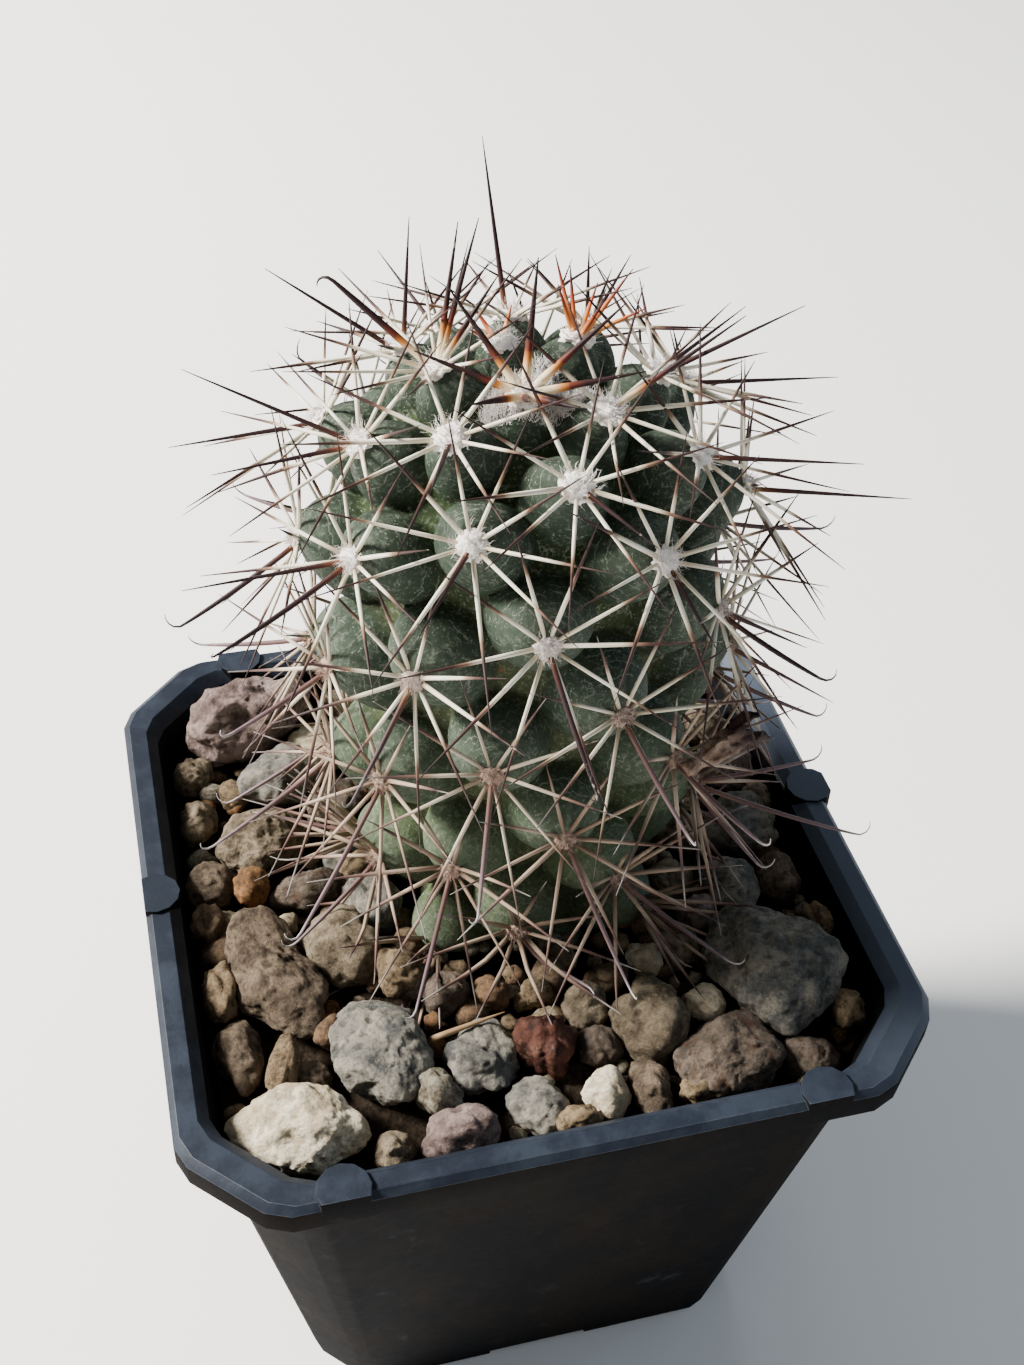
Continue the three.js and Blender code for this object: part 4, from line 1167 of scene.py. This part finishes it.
def makePot():
    bm = copyNode("pot")
    bmesh.ops.dissolve_limit(bm, angle_limit=math.radians(pot["flat"]), verts=bm.verts, edges=bm.edges)
    sharp = [edge for edge in bm.edges if edge.calc_face_angle(0) > math.radians(pot["sharp"])]
    soft = bm.faces.layers.int.new("soft")
    for face in bm.faces:
        turns = [edge.calc_face_angle(0) for edge in face.edges]
        face[soft] = any(math.radians(2) < turn < math.radians(pot["sharp"]) for turn in turns)
    worn = bm.loops.layers.float.new("worn")
    made = bmesh.ops.bevel(bm, geom=sharp, offset=pot["edge"], offset_type="OFFSET", segments=3, profile=0.5,
                           affect="EDGES", clamp_overlap=True, material=-1)
    # the rim's outer top edge: worn pale, with a painted highlight along it
    for loop in (loop for face in made["faces"] for loop in face.loops):
        place = loop.vert.co
        corner = (abs(place.x) + abs(place.y)) * pot["rimHalf"] / pot["cornerCut"]
        outer = max(abs(place.x), abs(place.y), corner) > pot["rimHalf"] - pot["wornWidth"]
        loop[worn] = 1.0 if outer and place.z > pot["wornFrom"] else 0.0
    rounded = set(made["faces"])
    flat = [face for face in bm.faces if not face[soft] and face not in rounded]
    bmesh.ops.inset_individual(bm, faces=flat, thickness=pot["inset"], use_even_offset=True)
    bmesh.ops.triangulate(bm, faces=bm.faces)
    # the rim's upward faces take the rim finish, with its painted sky reflection
    for face in bm.faces:
        top = face.normal.z > 0.25 and face.calc_center_median().z > pot["rimFrom"]
        face.material_index = 1 if top else 0
    piece = put("pot_smooth", bm, bodyShader(), ["pot"])
    piece.data.materials.append(rimShader().material)
    piece.data.set_sharp_from_angle(angle=math.radians(pot["roundedSharp"]))
    return piece


makePot()
print("pot done")


# What has dried and dropped

husk = {
    "areole": 39,
    "length": 7.2,
    "foot": (-0.6, 1.2),  # from the areole's tip, up and outward
    "aim": (0.92, 0.24, 0.31),  # sideways, up and outward
    "folds": (0.1, 0.45),  # at the foot, and how much more at the end
}
fruit = {"size": 0.88, "folds": 0.5, "ripples": 0.06}
fallenSpine = {"thick": 0.62, "sides": 12, "rings": 8}


def huskShader():
    s = Shader("dried_husk", "dried_husk")
    frayed = s.attribute("frayed")
    cloud = s.grain(1.1, 5, 0.7)
    fine = s.grain(0.3, 5, 0.7)
    s.colour = s.blend(s.step(cloud, 0.35, 0.65), (0.1, 0.05, 0.028), (0.3, 0.21, 0.15))
    s.cover(s.step(frayed + cloud * 0.4, 0.75, 1.0), (0.028, 0.009, 0.006))
    s.cover(s.step(fine, 0.58, 0.7) * 0.6, (0.34, 0.28, 0.23))
    return s.finish(0.75, s.bump(fine, 0.1, 0.7))


def makeHusk():
    # the flower's folded tube, roughened, with a frayed end
    bm = copyNode("withered_flower")
    bmesh.ops.subdivide_edges(bm, edges=bm.edges, cuts=3, smooth=0.3, use_grid_fill=True)
    frayed = bm.verts.layers.float.new("frayed")
    tip, outward, up, side = areoleFrame(areoles[husk["areole"]])
    sideways, rise, out = husk["aim"]
    along = (side * sideways + up * rise + outward * out).normalized()
    start = tip + up * husk["foot"][0] + outward * husk["foot"][1]
    for vert in bm.verts:
        share = clamp((vert.co - start).dot(along) / husk["length"])
        ragged = noise.fractal(vert.co * 1.6, 0.8, 2.2, 4)
        crease = noise.noise(vert.co * 2.6)
        depth = husk["folds"][0] + husk["folds"][1] * share
        vert.co += (side * ragged + up * crease + outward * ragged) * depth
        vert[frayed] = share
    bmesh.ops.recalc_face_normals(bm, faces=bm.faces)
    return put("withered_flower_folded", bm, huskShader(), ["withered_flower"])


def fruitShader():
    s = Shader("dried_fruit", "dried_fruit")
    cloud = s.grain(1.6, 5, 0.65)
    fine = s.grain(0.3, 5, 0.7)
    s.colour = s.blend(s.step(cloud, 0.35, 0.62), (0.02, 0.009, 0.007), (0.08, 0.031, 0.021))
    s.cover(s.step(s.grain(1.1, 5), 0.54, 0.68) * 0.5, (0.22, 0.12, 0.08))
    return s.finish(0.6, s.bump(fine, 0.16, 0.9), 0.12)


def makeFruit():
    bm = copyNode("fallen_fruit")
    subdivideRound(bm, 2)
    middle = middleOf(bm)
    for vert in bm.verts:
        away = vert.co - middle
        crease = abs(noise.noise(Vector((away.x * 0.6, away.y * 0.6, away.z * 0.3)) + Vector((4, 1, 2))))
        ripple = noise.fractal(away * 1.5, 0.8, 2.1, 4)
        vert.co = middle + away * (fruit["size"] + fruit["folds"] * crease + fruit["ripples"] * ripple)
    return put("fallen_fruit_folded", bm, fruitShader(), ["fallen_fruit"])


def fallenSpineShader():
    s = Shader("dried_spine", "dried_spine")
    s.colour = s.blend(s.grain(1.2, 4), (0.2, 0.11, 0.05), (0.36, 0.24, 0.13))
    return s.finish(0.6)


def makeFallenSpine():
    low, high = [Vector(corner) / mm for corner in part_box("fallen_spine")]
    level = (low.z + high.z) / 2
    root = Vector((low.x + 0.1, low.y + 0.2, level))
    tip = Vector((high.x, high.y - 0.2, level + 0.1))
    spine = {
        "root": root, "along": (tip - root).normalized(), "length": (tip - root).length,
        "thick": fallenSpine["thick"], "kind": 4, "bend": 0.0, "hook": None, "age": 1.0, "tone": 0.5,
        "outward": Vector((0, 0, 1)), "up": Vector((0, 1, 0.2)),
    }
    return makeSpines("fallen_spine_fine", [spine], fallenSpineShader(), ["fallen_spine"],
                      fallenSpine["sides"], fallenSpine["rings"])


makeHusk()
makeFruit()
makeFallenSpine()
print("dried pieces done")


# Floor, lights and world

studio = {
    "floorSize": 3.0,
    "floorColour": (0.95, 0.95, 0.95),
    "worldColour": (0.96, 0.98, 1),
    "worldStrength": 0.25,
    "target": (0, 0, 0.08),
    "lights": {  # power, size, place and colour
        "key": (57.0, 0.24, (-0.8, 0.3, 0.7), (1.0, 0.955, 0.89)),
        "fill": (1.7, 0.6, (0.85, -0.15, 0.45), (0.42, 0.7, 1.0)),
        "front": (0.4, 0.6, (-0.35, -0.85, 0.45), (1.0, 0.95, 0.86)),
        "back": (1.5, 0.5, (0.1, 0.8, 0.7), (0.95, 0.97, 1.0)),
    },
}


def makeFloor():
    bm = bmesh.new()
    bmesh.ops.create_grid(bm, x_segments=1, y_segments=1, size=studio["floorSize"] / 2)
    mesh = meshOf("floor", bm)
    paper = Shader("floor_paper", None)
    paper.colour = studio["floorColour"]
    mesh.materials.append(paper.finish(0.9).material)
    floor = addObject("floor", mesh)


def lightStudio():
    for name, (power, size, place, colour) in studio["lights"].items():
        data = bpy.data.lights.new(name, "AREA")
        data.energy = power
        data.size = size
        data.color = colour
        lamp = addObject(name, data)
        lamp.location = place
        lamp.rotation_euler = (Vector(studio["target"]) - Vector(place)).to_track_quat("-Z", "Y").to_euler()
    world = bpy.data.worlds.new("studio")
    world.use_nodes = True
    background = world.node_tree.nodes["Background"]
    background.inputs["Color"].default_value = (*studio["worldColour"], 1)
    background.inputs["Strength"].default_value = studio["worldStrength"]
    bpy.context.scene.world = world


makeFloor()
lightStudio()
